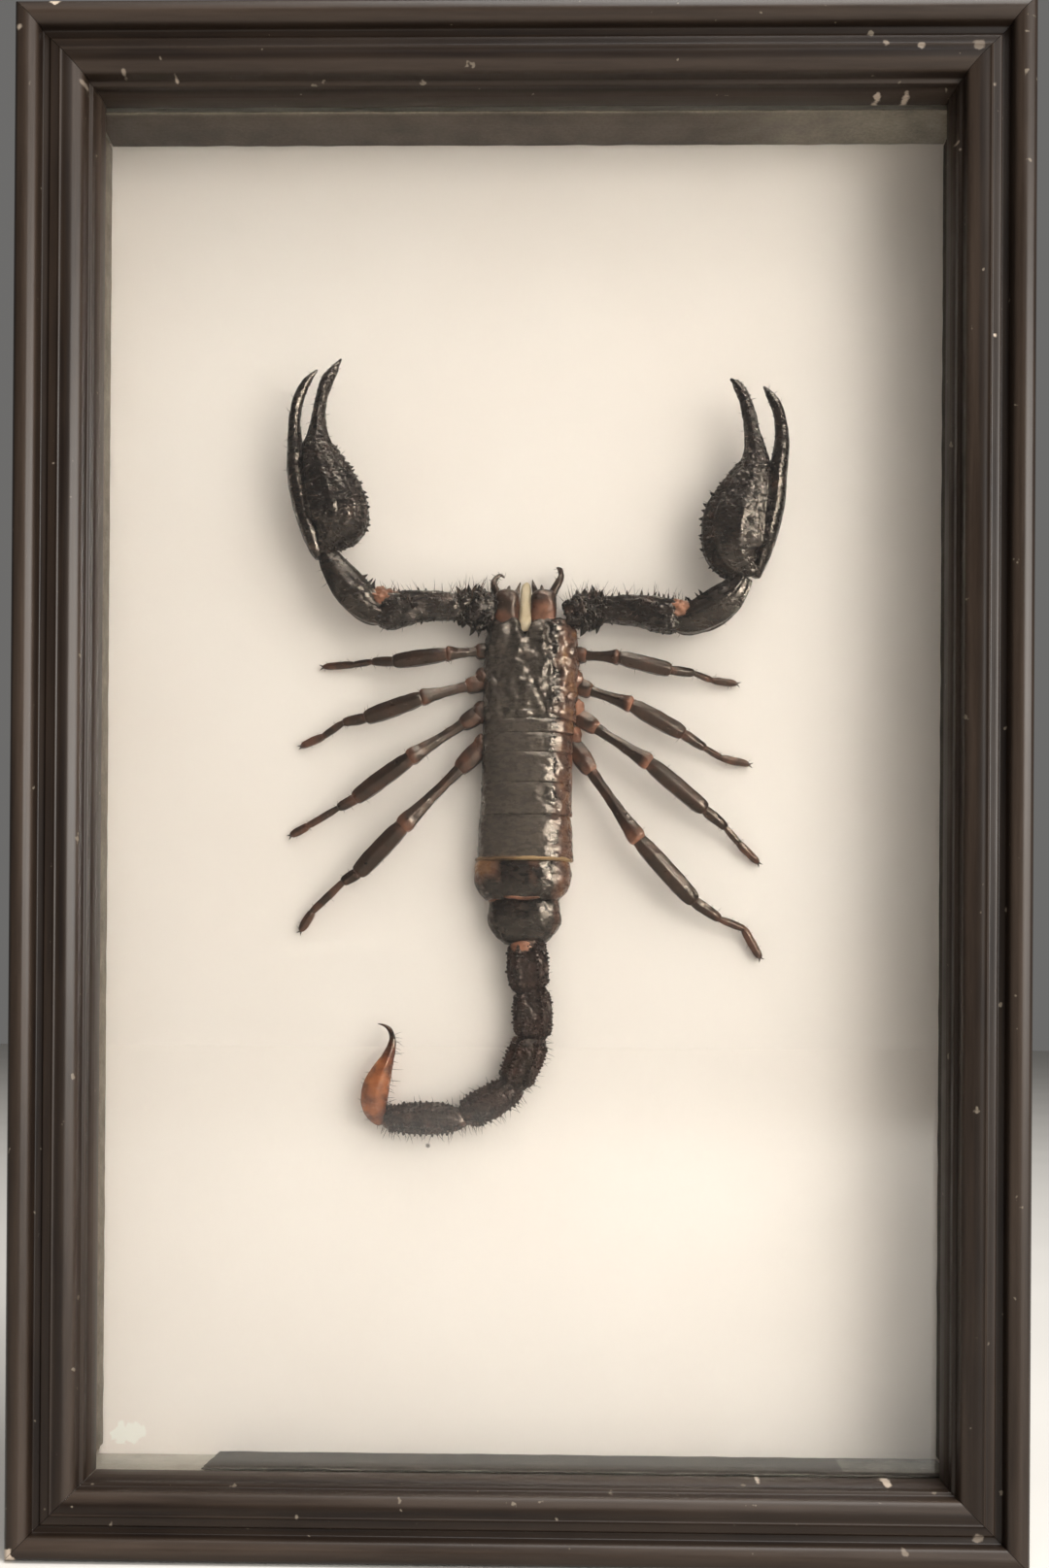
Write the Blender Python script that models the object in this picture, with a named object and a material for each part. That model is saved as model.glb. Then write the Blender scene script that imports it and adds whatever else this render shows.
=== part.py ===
"""Framed scorpion specimen: a dried giant forest scorpion in a glazed box frame.

The frame stands upright. X runs across it, Z runs up it, and the glass faces -Y.
The origin is at the middle of the flat bottom edge.
"""

from math import cos, pi, radians, sin

import bmesh
import bpy
from mathutils import Vector

MM = 0.001

# Outer size of the frame, and the clearance between pieces that touch
WIDTH = 170 * MM
HEIGHT = 260 * MM
RAIL_DEPTH = 32.5 * MM
GAP = 0.3 * MM
MITRE_GAP = 0.1 * MM

# Moulding: the lip is the sight edge, and the rebate behind it takes glass and panels
RAIL_WIDTH = 13 * MM
REBATE_WIDTH = 6 * MM
LIP_BACK = 11 * MM
# Front of the moulding, from the outer edge inwards: (distance in, depth from the front)
MOULDING_FRONT = [
    (0.0, 3.2), (0.4, 1.4), (1.2, 0.3), (2.1, 0.0), (2.9, 0.5), (3.6, 1.6), (4.3, 2.5),
    (5.2, 2.7), (5.7, 2.2), (6.3, 2.0), (7.0, 2.4), (7.5, 3.6), (8.2, 4.6), (8.9, 4.4),
    (9.5, 4.2), (10.3, 4.8), (11.1, 6.4), (11.6, 6.9), (12.1, 6.9), (12.5, 7.4), (13.0, 8.0),
]

# What lies in the rebate, as depths from the front of the frame
GLASS_THICK = 2 * MM
BOARD_FRONT = 25.2 * MM
BOARD_THICK = 2 * MM
PANEL_THICK = 2.5 * MM
# Inner faces of the lined box: top and bottom are flush with the lip, the sides lie behind it
BOX_SIDE = 74.3 * MM
BOX_BOTTOM = RAIL_WIDTH
BOX_TOP = HEIGHT - RAIL_WIDTH
PAPER_THICK = 0.4 * MM
# The bottom lining is torn off here, slanting from its front edge to its back edge
TEAR_FRONT = -54.7 * MM
TEAR_BACK = -53.7 * MM

# Steel points that hold the back panel, each with its outer end in a slot in the rail
TAB_WIDTH = 6 * MM
TAB_LENGTH = 10 * MM
TAB_THICK = 0.5 * MM
TAB_IN_RAIL = 3 * MM
SIDE_TAB_HEIGHTS = (70 * MM, 190 * MM)

# Saw-tooth hanger
HANGER_LENGTH = 42 * MM
HANGER_HEIGHT = 5.6 * MM
HANGER_THICK = 0.8 * MM
TOOTH_COUNT = 8
TOOTH_PITCH = 2.4 * MM
TOOTH_DEPTH = 1.1 * MM
NAIL_RADIUS = 0.7 * MM
NAIL_HEAD_RADIUS = 1.6 * MM
NAIL_HEAD_THICK = 0.6 * MM
NAIL_LENGTH = 9 * MM
NAIL_REACH = 17.3 * MM

TOTAL_DEPTH = RAIL_DEPTH + GAP + HANGER_THICK + NAIL_HEAD_THICK
FRONT_Y = -TOTAL_DEPTH / 2

COLLECTION_NAME = "framed_scorpion_specimen"


def depth(distance):
    """World Y of a plane that lies this far behind the front of the frame."""
    return FRONT_Y + distance


def place(x, z, height):
    """A point of the specimen in millimetres, height being its height above the board."""
    return Vector((x * MM, depth(BOARD_FRONT) - height * MM, z * MM))


def start_empty():
    for old in list(bpy.data.objects):
        bpy.data.objects.remove(old, do_unlink=True)
    parts = bpy.data.collections.new(COLLECTION_NAME)
    cutters = bpy.data.collections.new("cutters")
    for group in (parts, cutters):
        bpy.context.scene.collection.children.link(group)
    return parts, cutters


def srgb(hex_colour):
    """Linear colour of a six-digit sRGB hex value."""
    channels = [int(hex_colour[i : i + 2], 16) / 255 for i in (0, 2, 4)]
    return [c / 12.92 if c <= 0.04045 else ((c + 0.055) / 1.055) ** 2.4 for c in channels]


def make_material(name, hex_colour, roughness, metallic=0.0, transmission=0.0):
    material = bpy.data.materials.new(name)
    material.use_nodes = True
    shader = material.node_tree.nodes["Principled BSDF"]
    shader.inputs["Base Color"].default_value = (*srgb(hex_colour), 1)
    shader.inputs["Roughness"].default_value = roughness
    shader.inputs["Metallic"].default_value = metallic
    shader.inputs["Transmission Weight"].default_value = transmission
    return material


def finish_object(name, shape, material, collection, smooth_angle=None):
    """Turn a bmesh into a named object with one material."""
    shape.normal_update()
    bmesh.ops.recalc_face_normals(shape, faces=shape.faces)
    mesh = bpy.data.meshes.new(name)
    shape.to_mesh(mesh)
    shape.free()
    if smooth_angle:
        mesh.shade_smooth()
        mesh.set_sharp_from_angle(angle=smooth_angle)
    made = bpy.data.objects.new(name, mesh)
    if material:
        mesh.materials.append(material)
    collection.objects.link(made)
    return made


def box_shape(low, high):
    """A box between two corners."""
    shape = bmesh.new()
    bmesh.ops.create_cube(shape, size=1)
    low, high = Vector(low), Vector(high)
    bmesh.ops.scale(shape, vec=high - low, verts=shape.verts)
    bmesh.ops.translate(shape, vec=(low + high) / 2, verts=shape.verts)
    return shape


def make_cutter(name, shape):
    cutter = finish_object(name, shape, None, CUTTERS)
    cutter.hide_render = True
    cutter.display_type = "WIRE"
    return cutter


def add_boolean(target, tool, operation):
    modifier = target.modifiers.new(operation.lower(), "BOOLEAN")
    modifier.operation = operation
    modifier.solver = "EXACT"
    modifier.object = tool
    return modifier


def bake_modifiers(target):
    """Replace an object's mesh by what its modifiers make of it."""
    bpy.context.view_layer.update()
    evaluated = target.evaluated_get(bpy.context.evaluated_depsgraph_get())
    target.data = bpy.data.meshes.new_from_object(evaluated)
    target.modifiers.clear()


PARTS, CUTTERS = start_empty()

WOOD = make_material("stained_wood", "2B221A", 0.35)
GLASS = make_material("clear_glass", "F4F7F5", 0.02, transmission=1.0)
FOAM = make_material("white_foam_board", "CFC4B4", 0.8)
PAPER = make_material("dark_lining_paper", "4A413A", 0.75)
CARD = make_material("cream_card", "F2E8DA", 0.85)
PANEL = make_material("brown_hardboard", "7A5C3C", 0.8)
STEEL = make_material("zinced_steel", "A9A9A4", 0.35, metallic=1.0)
CHITIN = make_material("dried_chitin", "2C2422", 0.35)


# Frame rails


def rail_section():
    """The moulding's outline: (distance in from the outer edge, depth from the front)."""
    section = [(inwards * MM, back * MM) for inwards, back in MOULDING_FRONT]
    rebate_edge = RAIL_WIDTH - REBATE_WIDTH
    section += [(RAIL_WIDTH, LIP_BACK), (rebate_edge, LIP_BACK), (rebate_edge, RAIL_DEPTH), (0, RAIL_DEPTH)]
    return section


def rail_shape(length):
    """A rail lying along X with its outer edge at Z = 0, mitred at both ends."""
    shape = bmesh.new()
    corners = [shape.verts.new((-length / 2, depth(back), inwards)) for inwards, back in rail_section()]
    outline = shape.faces.new(corners)
    swept = bmesh.ops.extrude_face_region(shape, geom=[outline])["geom"]
    far_end = [item for item in swept if isinstance(item, bmesh.types.BMVert)]
    bmesh.ops.translate(shape, vec=(length, 0, 0), verts=far_end)
    for side in (-1, 1):
        everything = shape.verts[:] + shape.edges[:] + shape.faces[:]
        cut = bmesh.ops.bisect_plane(
            shape,
            geom=everything,
            dist=1e-7,
            plane_co=(side * (length / 2 - MITRE_GAP), 0, 0),
            plane_no=(side, 0, 1),
            clear_outer=True,
        )["geom_cut"]
        rim = [item for item in cut if isinstance(item, bmesh.types.BMEdge)]
        bmesh.ops.contextual_create(shape, geom=rim)
    return shape


def make_rail(name, length, turn, centre):
    """Turn a rail about Y and put the middle of its outer edge at (x, z)."""
    shape = rail_shape(length)
    angle = radians(turn)
    for vert in shape.verts:
        x, z = vert.co.x, vert.co.z
        vert.co.x = x * cos(angle) + z * sin(angle) + centre[0]
        vert.co.z = -x * sin(angle) + z * cos(angle) + centre[1]
    return finish_object(name, shape, WOOD, PARTS, smooth_angle=radians(30))


RAILS = {
    "bottom": make_rail("rail_bottom", WIDTH, 0, (0, 0)),
    "top": make_rail("rail_top", WIDTH, 180, (0, HEIGHT)),
    "left": make_rail("rail_left", HEIGHT, 90, (-WIDTH / 2, HEIGHT / 2)),
    "right": make_rail("rail_right", HEIGHT, -90, (WIDTH / 2, HEIGHT / 2)),
}


# Glass, board and back panel, each a sheet that fills the rebate

REBATE_SIDE = WIDTH / 2 - RAIL_WIDTH + REBATE_WIDTH
REBATE_BOTTOM = RAIL_WIDTH - REBATE_WIDTH
REBATE_TOP = HEIGHT - REBATE_BOTTOM


def make_sheet(name, front, thickness, material):
    """A sheet of the rebate's size, less the clearance all round."""
    low = (GAP - REBATE_SIDE, depth(front), REBATE_BOTTOM + GAP)
    high = (REBATE_SIDE - GAP, depth(front + thickness), REBATE_TOP - GAP)
    return finish_object(name, box_shape(low, high), material, PARTS)


GLASS_FRONT = LIP_BACK + GAP
PANEL_FRONT = BOARD_FRONT + BOARD_THICK + GAP
make_sheet("glass", GLASS_FRONT, GLASS_THICK, GLASS)
make_sheet("mount_board", BOARD_FRONT, BOARD_THICK, CARD)
make_sheet("back_panel", PANEL_FRONT, PANEL_THICK, PANEL)


# Foam board spacers between the glass and the board

SPACER_FRONT = GLASS_FRONT + GLASS_THICK + 2 * GAP + PAPER_THICK
SPACER_BACK = BOARD_FRONT - GAP
PAPER_AND_GAP = PAPER_THICK + GAP
SPACER_SIDE = BOX_SIDE + PAPER_AND_GAP
SPACER_TOP = BOX_TOP + PAPER_AND_GAP
SPACER_BOTTOM = BOX_BOTTOM - PAPER_AND_GAP


def make_strip(name, low_xz, high_xz, material, front=SPACER_FRONT, back=SPACER_BACK):
    low = (low_xz[0], depth(front), low_xz[1])
    high = (high_xz[0], depth(back), high_xz[1])
    return finish_object(name, box_shape(low, high), material, PARTS)


OUTER_X = REBATE_SIDE - GAP
make_strip("spacer_bottom", (-OUTER_X, REBATE_BOTTOM + GAP), (OUTER_X, SPACER_BOTTOM), FOAM)
make_strip("spacer_top", (-OUTER_X, SPACER_TOP), (OUTER_X, REBATE_TOP - GAP), FOAM)
for side_name, side in (("left", -1), ("right", 1)):
    across = sorted((side * OUTER_X, side * SPACER_SIDE))
    low_corner = (across[0], SPACER_BOTTOM + GAP)
    high_corner = (across[1], SPACER_TOP - GAP)
    make_strip("spacer_" + side_name, low_corner, high_corner, FOAM)


# Dark paper linings on the spacers

LINING_FRONT = SPACER_FRONT - PAPER_AND_GAP


def make_side_lining(name, side):
    across = sorted((side * BOX_SIDE, side * (BOX_SIDE + PAPER_THICK)))
    low_corner = (across[0], BOX_BOTTOM + GAP)
    high_corner = (across[1], BOX_TOP - GAP)
    make_strip(name, low_corner, high_corner, PAPER, front=LINING_FRONT)


def make_bottom_lining():
    """The bottom strip, whose left end is a slanting tear."""
    low = (TEAR_FRONT, depth(LINING_FRONT), BOX_BOTTOM - PAPER_THICK)
    high = (BOX_SIDE, depth(SPACER_BACK), BOX_BOTTOM)
    shape = box_shape(low, high)
    for vert in shape.verts:
        if vert.co.x < 0 and vert.co.y > depth(LINING_FRONT) + GAP:
            vert.co.x = TEAR_BACK
    return finish_object("lining_bottom", shape, PAPER, PARTS)


make_side_lining("lining_left", -1)
make_side_lining("lining_right", 1)
make_bottom_lining()
make_strip(
    "lining_top", (-BOX_SIDE, BOX_TOP), (BOX_SIDE, BOX_TOP + PAPER_THICK), PAPER, front=LINING_FRONT
)


# Steel points that hold the back panel, each in a slot in its rail

TAB_FRONT = PANEL_FRONT + PANEL_THICK + GAP


def tab_boxes(rail, along):
    """Low and high (x, z) corners of a point in the named rail, and of its slot."""
    inner = REBATE_SIDE if rail in ("left", "right") else HEIGHT / 2 - REBATE_BOTTOM
    start = inner + TAB_IN_RAIL
    end = start - TAB_LENGTH
    sign = 1 if rail in ("right", "top") else -1
    across = sorted((sign * start, sign * end))
    beside = (along - TAB_WIDTH / 2, along + TAB_WIDTH / 2)
    if rail in ("left", "right"):
        return (across[0], beside[0]), (across[1], beside[1])
    middle = HEIGHT / 2
    return (beside[0], middle + across[0]), (beside[1], middle + across[1])


TAB_PLACES = [("left", height) for height in SIDE_TAB_HEIGHTS]
TAB_PLACES += [("right", height) for height in SIDE_TAB_HEIGHTS]
TAB_PLACES += [("top", 0), ("bottom", 0)]
for number, (rail, along) in enumerate(TAB_PLACES, start=1):
    low, high = tab_boxes(rail, along)
    make_strip("back_tab_%d" % number, low, high, STEEL, front=TAB_FRONT, back=TAB_FRONT + TAB_THICK)
    slot = box_shape(
        (low[0] - GAP, depth(TAB_FRONT - GAP), low[1] - GAP),
        (high[0] + GAP, depth(TAB_FRONT + TAB_THICK + GAP), high[1] + GAP),
    )
    add_boolean(RAILS[rail], make_cutter("slot_%d" % number, slot), "DIFFERENCE")


# Saw-tooth hanger and its nails on the back of the top rail

HANGER_Z = HEIGHT - (RAIL_WIDTH - REBATE_WIDTH) / 2
HANGER_FRONT = RAIL_DEPTH + GAP


def cylinder_shape(radius, front, back, x, z, sides=12):
    """A cylinder whose axis runs along Y."""
    shape = bmesh.new()
    bmesh.ops.create_cone(
        shape, cap_ends=True, segments=sides, radius1=radius, radius2=radius, depth=back - front
    )
    for vert in shape.verts:
        along = vert.co.z
        vert.co.z = vert.co.y + z
        vert.co.y = depth((front + back) / 2) + along
        vert.co.x += x
    return shape


def make_hanger():
    """A flat plate with teeth along the middle of its lower edge."""
    half_length, half_height = HANGER_LENGTH / 2, HANGER_HEIGHT / 2
    teeth_start = -TOOTH_COUNT * TOOTH_PITCH / 2
    outline = [(-half_length, -half_height)]
    for tooth in range(TOOTH_COUNT):
        left = teeth_start + tooth * TOOTH_PITCH
        outline.append((left, -half_height))
        outline.append((left + TOOTH_PITCH / 2, TOOTH_DEPTH - half_height))
    outline += [
        (-teeth_start, -half_height),
        (half_length, -half_height),
        (half_length, half_height),
        (-half_length, half_height),
    ]
    shape = bmesh.new()
    corners = [shape.verts.new((x, depth(HANGER_FRONT), HANGER_Z + z)) for x, z in outline]
    face = shape.faces.new(corners)
    swept = bmesh.ops.extrude_face_region(shape, geom=[face])["geom"]
    back_face = [item for item in swept if isinstance(item, bmesh.types.BMVert)]
    bmesh.ops.translate(shape, vec=(0, HANGER_THICK, 0), verts=back_face)
    bmesh.ops.triangulate(shape, faces=shape.faces)
    return finish_object("hanger", shape, STEEL, PARTS)


HANGER = make_hanger()
for side_name, side in (("left", -1), ("right", 1)):
    nail_x = side * NAIL_REACH
    head_front = HANGER_FRONT + HANGER_THICK
    shank = cylinder_shape(NAIL_RADIUS, head_front - NAIL_LENGTH, head_front + GAP, nail_x, HANGER_Z)
    nail = finish_object("hanger_nail_" + side_name, shank, STEEL, PARTS, smooth_angle=radians(40))
    head = cylinder_shape(NAIL_HEAD_RADIUS, head_front + GAP / 2, head_front + NAIL_HEAD_THICK, nail_x, HANGER_Z)
    add_boolean(nail, make_cutter("nail_head_" + side_name, head), "UNION")
    bore = cylinder_shape(
        NAIL_RADIUS + GAP, head_front - NAIL_LENGTH - GAP, head_front + GAP, nail_x, HANGER_Z
    )
    hole = make_cutter("nail_hole_" + side_name, bore)
    add_boolean(HANGER, hole, "DIFFERENCE")
    add_boolean(RAILS["top"], hole, "DIFFERENCE")


# The scorpion: every piece of it is a loft or a tapered tube, and all are fused at the end

# Height of the belly above the board, in millimetres
BELLY = 0.5


def superellipse(angle, power):
    """Point of a rounded square of unit half width, where power 1 is a circle."""
    c, s = cos(angle), sin(angle)
    across = abs(c) ** power * (1 if c >= 0 else -1)
    upward = abs(s) ** power * (1 if s >= 0 else -1)
    return across, upward


def loft(rings):
    """Join rings of equally many points into one closed skin."""
    shape = bmesh.new()
    loops = [[shape.verts.new(point) for point in ring] for ring in rings]
    count = len(loops[0])
    for loop, following in zip(loops, loops[1:]):
        for i in range(count):
            j = (i + 1) % count
            shape.faces.new((loop[i], loop[j], following[j], following[i]))
    shape.faces.new(loops[0])
    shape.faces.new(loops[-1])
    bmesh.ops.triangulate(shape, faces=[face for face in shape.faces if len(face.verts) > 4])
    return shape


def path_rings(stations, sides=10, power=0.9):
    """Rings square to a path through (x, z, height, half width, half thickness)."""
    points = [Vector((x, z, height)) for x, z, height, _, _ in stations]
    rings = []
    for i, (x, z, height, half_width, half_thick) in enumerate(stations):
        before = points[max(i - 1, 0)]
        after = points[min(i + 1, len(points) - 1)]
        heading = (after - before).normalized()
        side = Vector((heading.y, -heading.x, 0)).normalized()
        top = side.cross(heading).normalized()
        if top.z < 0:
            top = -top
        ring = []
        for k in range(sides):
            across, upward = superellipse(2 * pi * k / sides, power)
            spot = points[i] + side * across * half_width + top * upward * half_thick
            ring.append(place(spot.x, spot.y, spot.z))
        rings.append(ring)
    return rings


def tapered_tube(points, bevel_resolution=2):
    """A round tube through (x, z, height, radius), as a closed mesh."""
    curve = bpy.data.curves.new("tube", "CURVE")
    curve.dimensions = "3D"
    curve.bevel_depth = MM
    curve.bevel_resolution = bevel_resolution
    curve.use_fill_caps = True
    spline = curve.splines.new("POLY")
    spline.points.add(len(points) - 1)
    for spline_point, (x, z, height, radius) in zip(spline.points, points):
        spline_point.co = (*place(x, z, height), 1)
        spline_point.radius = radius
    tube = bpy.data.objects.new("tube", curve)
    CUTTERS.objects.link(tube)
    bpy.context.view_layer.update()
    evaluated = tube.evaluated_get(bpy.context.evaluated_depsgraph_get())
    mesh = bpy.data.meshes.new_from_object(evaluated)
    shape = bmesh.new()
    shape.from_mesh(mesh)
    bmesh.ops.remove_doubles(shape, verts=shape.verts, dist=1e-6)
    bpy.data.objects.remove(tube, do_unlink=True)
    return shape


def cone_shape(base, tip, radius, sides=5):
    """A small spine from base to tip, both (x, z, height)."""
    start, end = place(*base), place(*tip)
    shape = bmesh.new()
    bmesh.ops.create_cone(
        shape, cap_ends=True, segments=sides, radius1=radius * MM, radius2=0, depth=(end - start).length
    )
    turn = (end - start).to_track_quat("Z", "Y").to_matrix()
    bmesh.ops.rotate(shape, matrix=turn, verts=shape.verts)
    bmesh.ops.translate(shape, vec=(start + end) / 2, verts=shape.verts)
    return shape


# Trunk: (z of the plate's front edge, centre x, half width, height of the back)
CARAPACE = [
    (161.2, 1.6, 6.9, 4.6),
    (160.2, 1.6, 7.9, 6.1),
    (156.3, 1.6, 8.3, 7.4),
    (150.0, 1.6, 8.4, 8.1),
    (145.3, 1.5, 8.4, 8.3),
    (143.7, 1.4, 8.2, 8.0),
]
# Back plates: (z of the front edge, centre x, half width at the back edge, height)
BACK_PLATES = [
    (143.5, 1.3, 8.0, 8.1),
    (140.9, 1.1, 7.9, 8.5),
    (137.5, 0.9, 8.0, 8.7),
    (132.3, 0.8, 8.0, 8.9),
    (126.5, 0.8, 8.0, 8.8),
    (119.1, 0.4, 8.5, 8.5),
    (111.7, 0.6, 6.6, 7.4),
]
TRUNK_END = 104.0
TRUNK_SIDES = 18
PLATE_OVERLAP = 0.25
# Height of the widest line of the trunk, where back plates and belly plates meet
FLANK = 3.3


def trunk_ring(z, centre_x, half_width, back_height):
    """A domed back over a flatter belly."""
    ring = []
    for k in range(TRUNK_SIDES):
        across, upward = superellipse(2 * pi * k / TRUNK_SIDES, 0.82)
        reach = back_height - FLANK if upward > 0 else FLANK - BELLY
        ring.append(place(centre_x + across * half_width, z, FLANK + upward * reach))
    return ring


def trunk_shape():
    rings = [trunk_ring(*station) for station in CARAPACE]
    ends = [plate[0] for plate in BACK_PLATES[1:]] + [TRUNK_END]
    for (front, centre_x, half_width, back_height), end in zip(BACK_PLATES, ends):
        last = end == TRUNK_END
        rear_width = half_width * (0.58 if last else 1.0)
        rear_height = back_height * (0.72 if last else 1.0)
        length = front - end
        rings.append(trunk_ring(front, centre_x, half_width * 0.95, back_height * 0.93))
        rings.append(trunk_ring(front - length * 0.35, centre_x, half_width * 1.01, back_height))
        rings.append(trunk_ring(end + PLATE_OVERLAP, centre_x, rear_width, rear_height))
    return loft(rings)


# Tail: five segments and the sting, as (x, z, height, half width, half thickness)
TAIL_SEGMENTS = [
    [(1.1, 105.1, 3.3, 2.5, 2.1), (1.3, 103.3, 3.4, 3.3, 2.8), (1.4, 99.7, 3.5, 3.7, 3.1),
     (1.7, 96.8, 3.5, 3.5, 3.0), (1.9, 95.8, 3.4, 2.3, 2.1)],
    [(1.9, 96.2, 3.4, 2.2, 2.0), (2.2, 94.8, 3.4, 3.1, 2.7), (2.3, 91.6, 3.4, 3.3, 2.9),
     (2.4, 88.5, 3.4, 3.2, 2.8), (2.5, 87.4, 3.3, 2.0, 1.9)],
    [(2.5, 87.9, 3.3, 1.9, 1.8), (2.2, 86.4, 3.3, 2.7, 2.5), (1.0, 83.5, 3.3, 3.1, 2.8),
     (0.0, 80.4, 3.3, 3.0, 2.7), (-0.5, 78.6, 3.2, 1.9, 1.8)],
    [(-0.3, 78.9, 3.2, 1.8, 1.7), (-1.6, 78.0, 3.2, 2.4, 2.3), (-4.2, 76.4, 3.2, 2.8, 2.6),
     (-7.0, 74.5, 3.2, 2.6, 2.5), (-8.8, 73.3, 3.2, 1.6, 1.6)],
    [(-8.4, 73.4, 3.2, 1.5, 1.5), (-10.3, 72.8, 3.2, 1.9, 1.9), (-13.8, 73.1, 3.2, 2.6, 2.4),
     (-18.2, 73.2, 3.2, 2.7, 2.5), (-22.0, 73.0, 3.2, 2.2, 2.1), (-24.0, 72.9, 3.2, 1.2, 1.3)],
]
STING = [
    (-23.6, 72.6, 3.2, 0.94, 1.0), (-24.7, 73.3, 3.3, 1.6, 1.6), (-25.7, 75.5, 3.6, 2.3, 2.1),
    (-25.4, 78.4, 3.8, 2.5, 2.3), (-24.5, 81.0, 3.9, 2.1, 1.9), (-23.4, 83.5, 4.0, 1.2, 1.3),
    (-22.6, 85.6, 4.0, 0.78, 0.78), (-22.6, 87.4, 3.9, 0.57, 0.58), (-23.5, 88.9, 3.7, 0.42, 0.39),
    (-25.2, 89.7, 3.5, 0.12, 0.12),
]

# Pincer arms, from the trunk outwards
ARM_LEFT = {
    "trochanter": [(-4.0, 162.3, 3.9, 2.7, 2.3), (-7.1, 162.9, 4.0, 3.4, 2.7), (-9.8, 163.3, 4.2, 3.0, 2.5),
                   (-11.9, 163.3, 4.4, 1.7, 1.7)],
    "femur": [(-10.8, 163.3, 4.4, 1.8, 1.7), (-12.7, 163.3, 4.5, 2.2, 2.1), (-16.9, 163.4, 4.9, 2.6, 2.3),
              (-21.1, 162.8, 5.3, 3.0, 2.5), (-24.1, 162.0, 5.6, 2.7, 2.3), (-25.4, 162.4, 5.7, 1.7, 1.7)],
    "patella": [(-24.1, 162.2, 5.7, 2.0, 1.8), (-26.2, 163.4, 5.9, 2.8, 2.4), (-29.1, 165.6, 6.2, 2.9, 2.7),
                (-31.6, 168.3, 6.5, 2.8, 2.6), (-33.4, 170.8, 6.8, 2.2, 2.1), (-34.0, 172.6, 7.0, 1.7, 1.6)],
    "hand": [(-33.8, 171.4, 6.9, 1.8, 1.7), (-33.6, 172.8, 7.0, 3.1, 2.6), (-33.2, 175.3, 7.2, 5.4, 3.4),
             (-33.3, 178.3, 7.4, 6.5, 3.8), (-33.9, 181.4, 7.5, 6.4, 3.7), (-34.8, 184.3, 7.5, 5.9, 3.3),
             (-36.0, 187.4, 7.6, 5.1, 2.8), (-36.8, 190.3, 7.7, 4.2, 2.3), (-37.2, 192.2, 7.7, 3.4, 1.9)],
    "fixed_finger": [(-35.6, 189.7, 7.7, 2.3, 1.8), (-35.4, 192.8, 7.8, 1.9, 1.6), (-35.8, 196.2, 7.9, 1.3, 1.3),
                     (-35.4, 199.4, 7.9, 1.2, 1.1), (-34.5, 202.4, 7.8, 0.98, 0.87),
                     (-33.4, 204.5, 7.6, 0.67, 0.58), (-31.8, 206.2, 7.5, 0.16, 0.15)],
    "moving_finger": [(-39.5, 185.8, 7.5, 1.6, 1.6), (-39.7, 189.1, 7.6, 1.4, 1.6), (-39.7, 193.0, 7.7, 1.2, 1.4),
                      (-39.7, 196.5, 7.8, 1.0, 1.1), (-39.1, 199.6, 7.8, 0.88, 0.87),
                      (-37.8, 202.2, 7.7, 0.67, 0.63), (-35.5, 204.3, 7.5, 0.16, 0.15)],
}
ARM_RIGHT = {
    "trochanter": [(7.3, 162.0, 3.9, 2.7, 2.3), (10.2, 162.6, 4.0, 3.4, 2.7), (12.8, 162.9, 4.2, 2.9, 2.5),
                   (14.7, 162.9, 4.4, 1.7, 1.7)],
    "femur": [(13.7, 162.9, 4.4, 1.8, 1.7), (15.5, 162.9, 4.5, 2.2, 2.1), (19.5, 162.7, 4.9, 2.6, 2.3),
              (23.4, 162.0, 5.3, 2.9, 2.5), (26.3, 161.3, 5.6, 2.6, 2.3), (27.9, 161.0, 5.7, 1.7, 1.7)],
    "patella": [(26.7, 161.0, 5.7, 1.9, 1.8), (29.0, 161.2, 5.9, 2.5, 2.4), (32.2, 162.6, 6.2, 2.9, 2.7),
                (34.9, 164.4, 6.5, 2.9, 2.6), (37.3, 166.6, 6.8, 2.4, 2.1), (39.1, 168.7, 7.0, 1.7, 1.6)],
    "hand": [(38.6, 167.7, 6.9, 1.8, 1.7), (39.1, 169.3, 7.0, 3.3, 2.6), (38.2, 171.8, 7.2, 5.5, 3.4),
             (38.0, 174.8, 7.4, 6.6, 3.8), (38.6, 177.9, 7.5, 6.5, 3.7), (39.9, 181.2, 7.5, 6.1, 3.3),
             (40.9, 184.7, 7.6, 5.3, 2.8), (41.7, 187.6, 7.7, 4.4, 2.3), (42.1, 189.5, 7.7, 3.4, 1.9)],
    "fixed_finger": [(40.5, 186.8, 7.7, 2.3, 1.8), (40.3, 189.9, 7.8, 2.0, 1.6), (39.9, 192.8, 7.9, 1.3, 1.3),
                     (39.3, 195.9, 7.9, 1.2, 1.1), (38.3, 199.0, 7.8, 0.98, 0.87),
                     (37.1, 201.1, 7.6, 0.67, 0.58), (36.0, 202.6, 7.5, 0.16, 0.15)],
    "moving_finger": [(44.5, 183.3, 7.5, 1.6, 1.6), (44.7, 186.4, 7.6, 1.5, 1.6), (45.0, 190.3, 7.7, 1.2, 1.4),
                      (45.0, 193.8, 7.8, 1.0, 1.1), (44.5, 196.5, 7.8, 0.88, 0.87),
                      (43.6, 198.9, 7.7, 0.67, 0.63), (42.1, 201.1, 7.5, 0.16, 0.15)],
}
HAND_SPINES = 9
FEMUR_SPINES = 6

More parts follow.
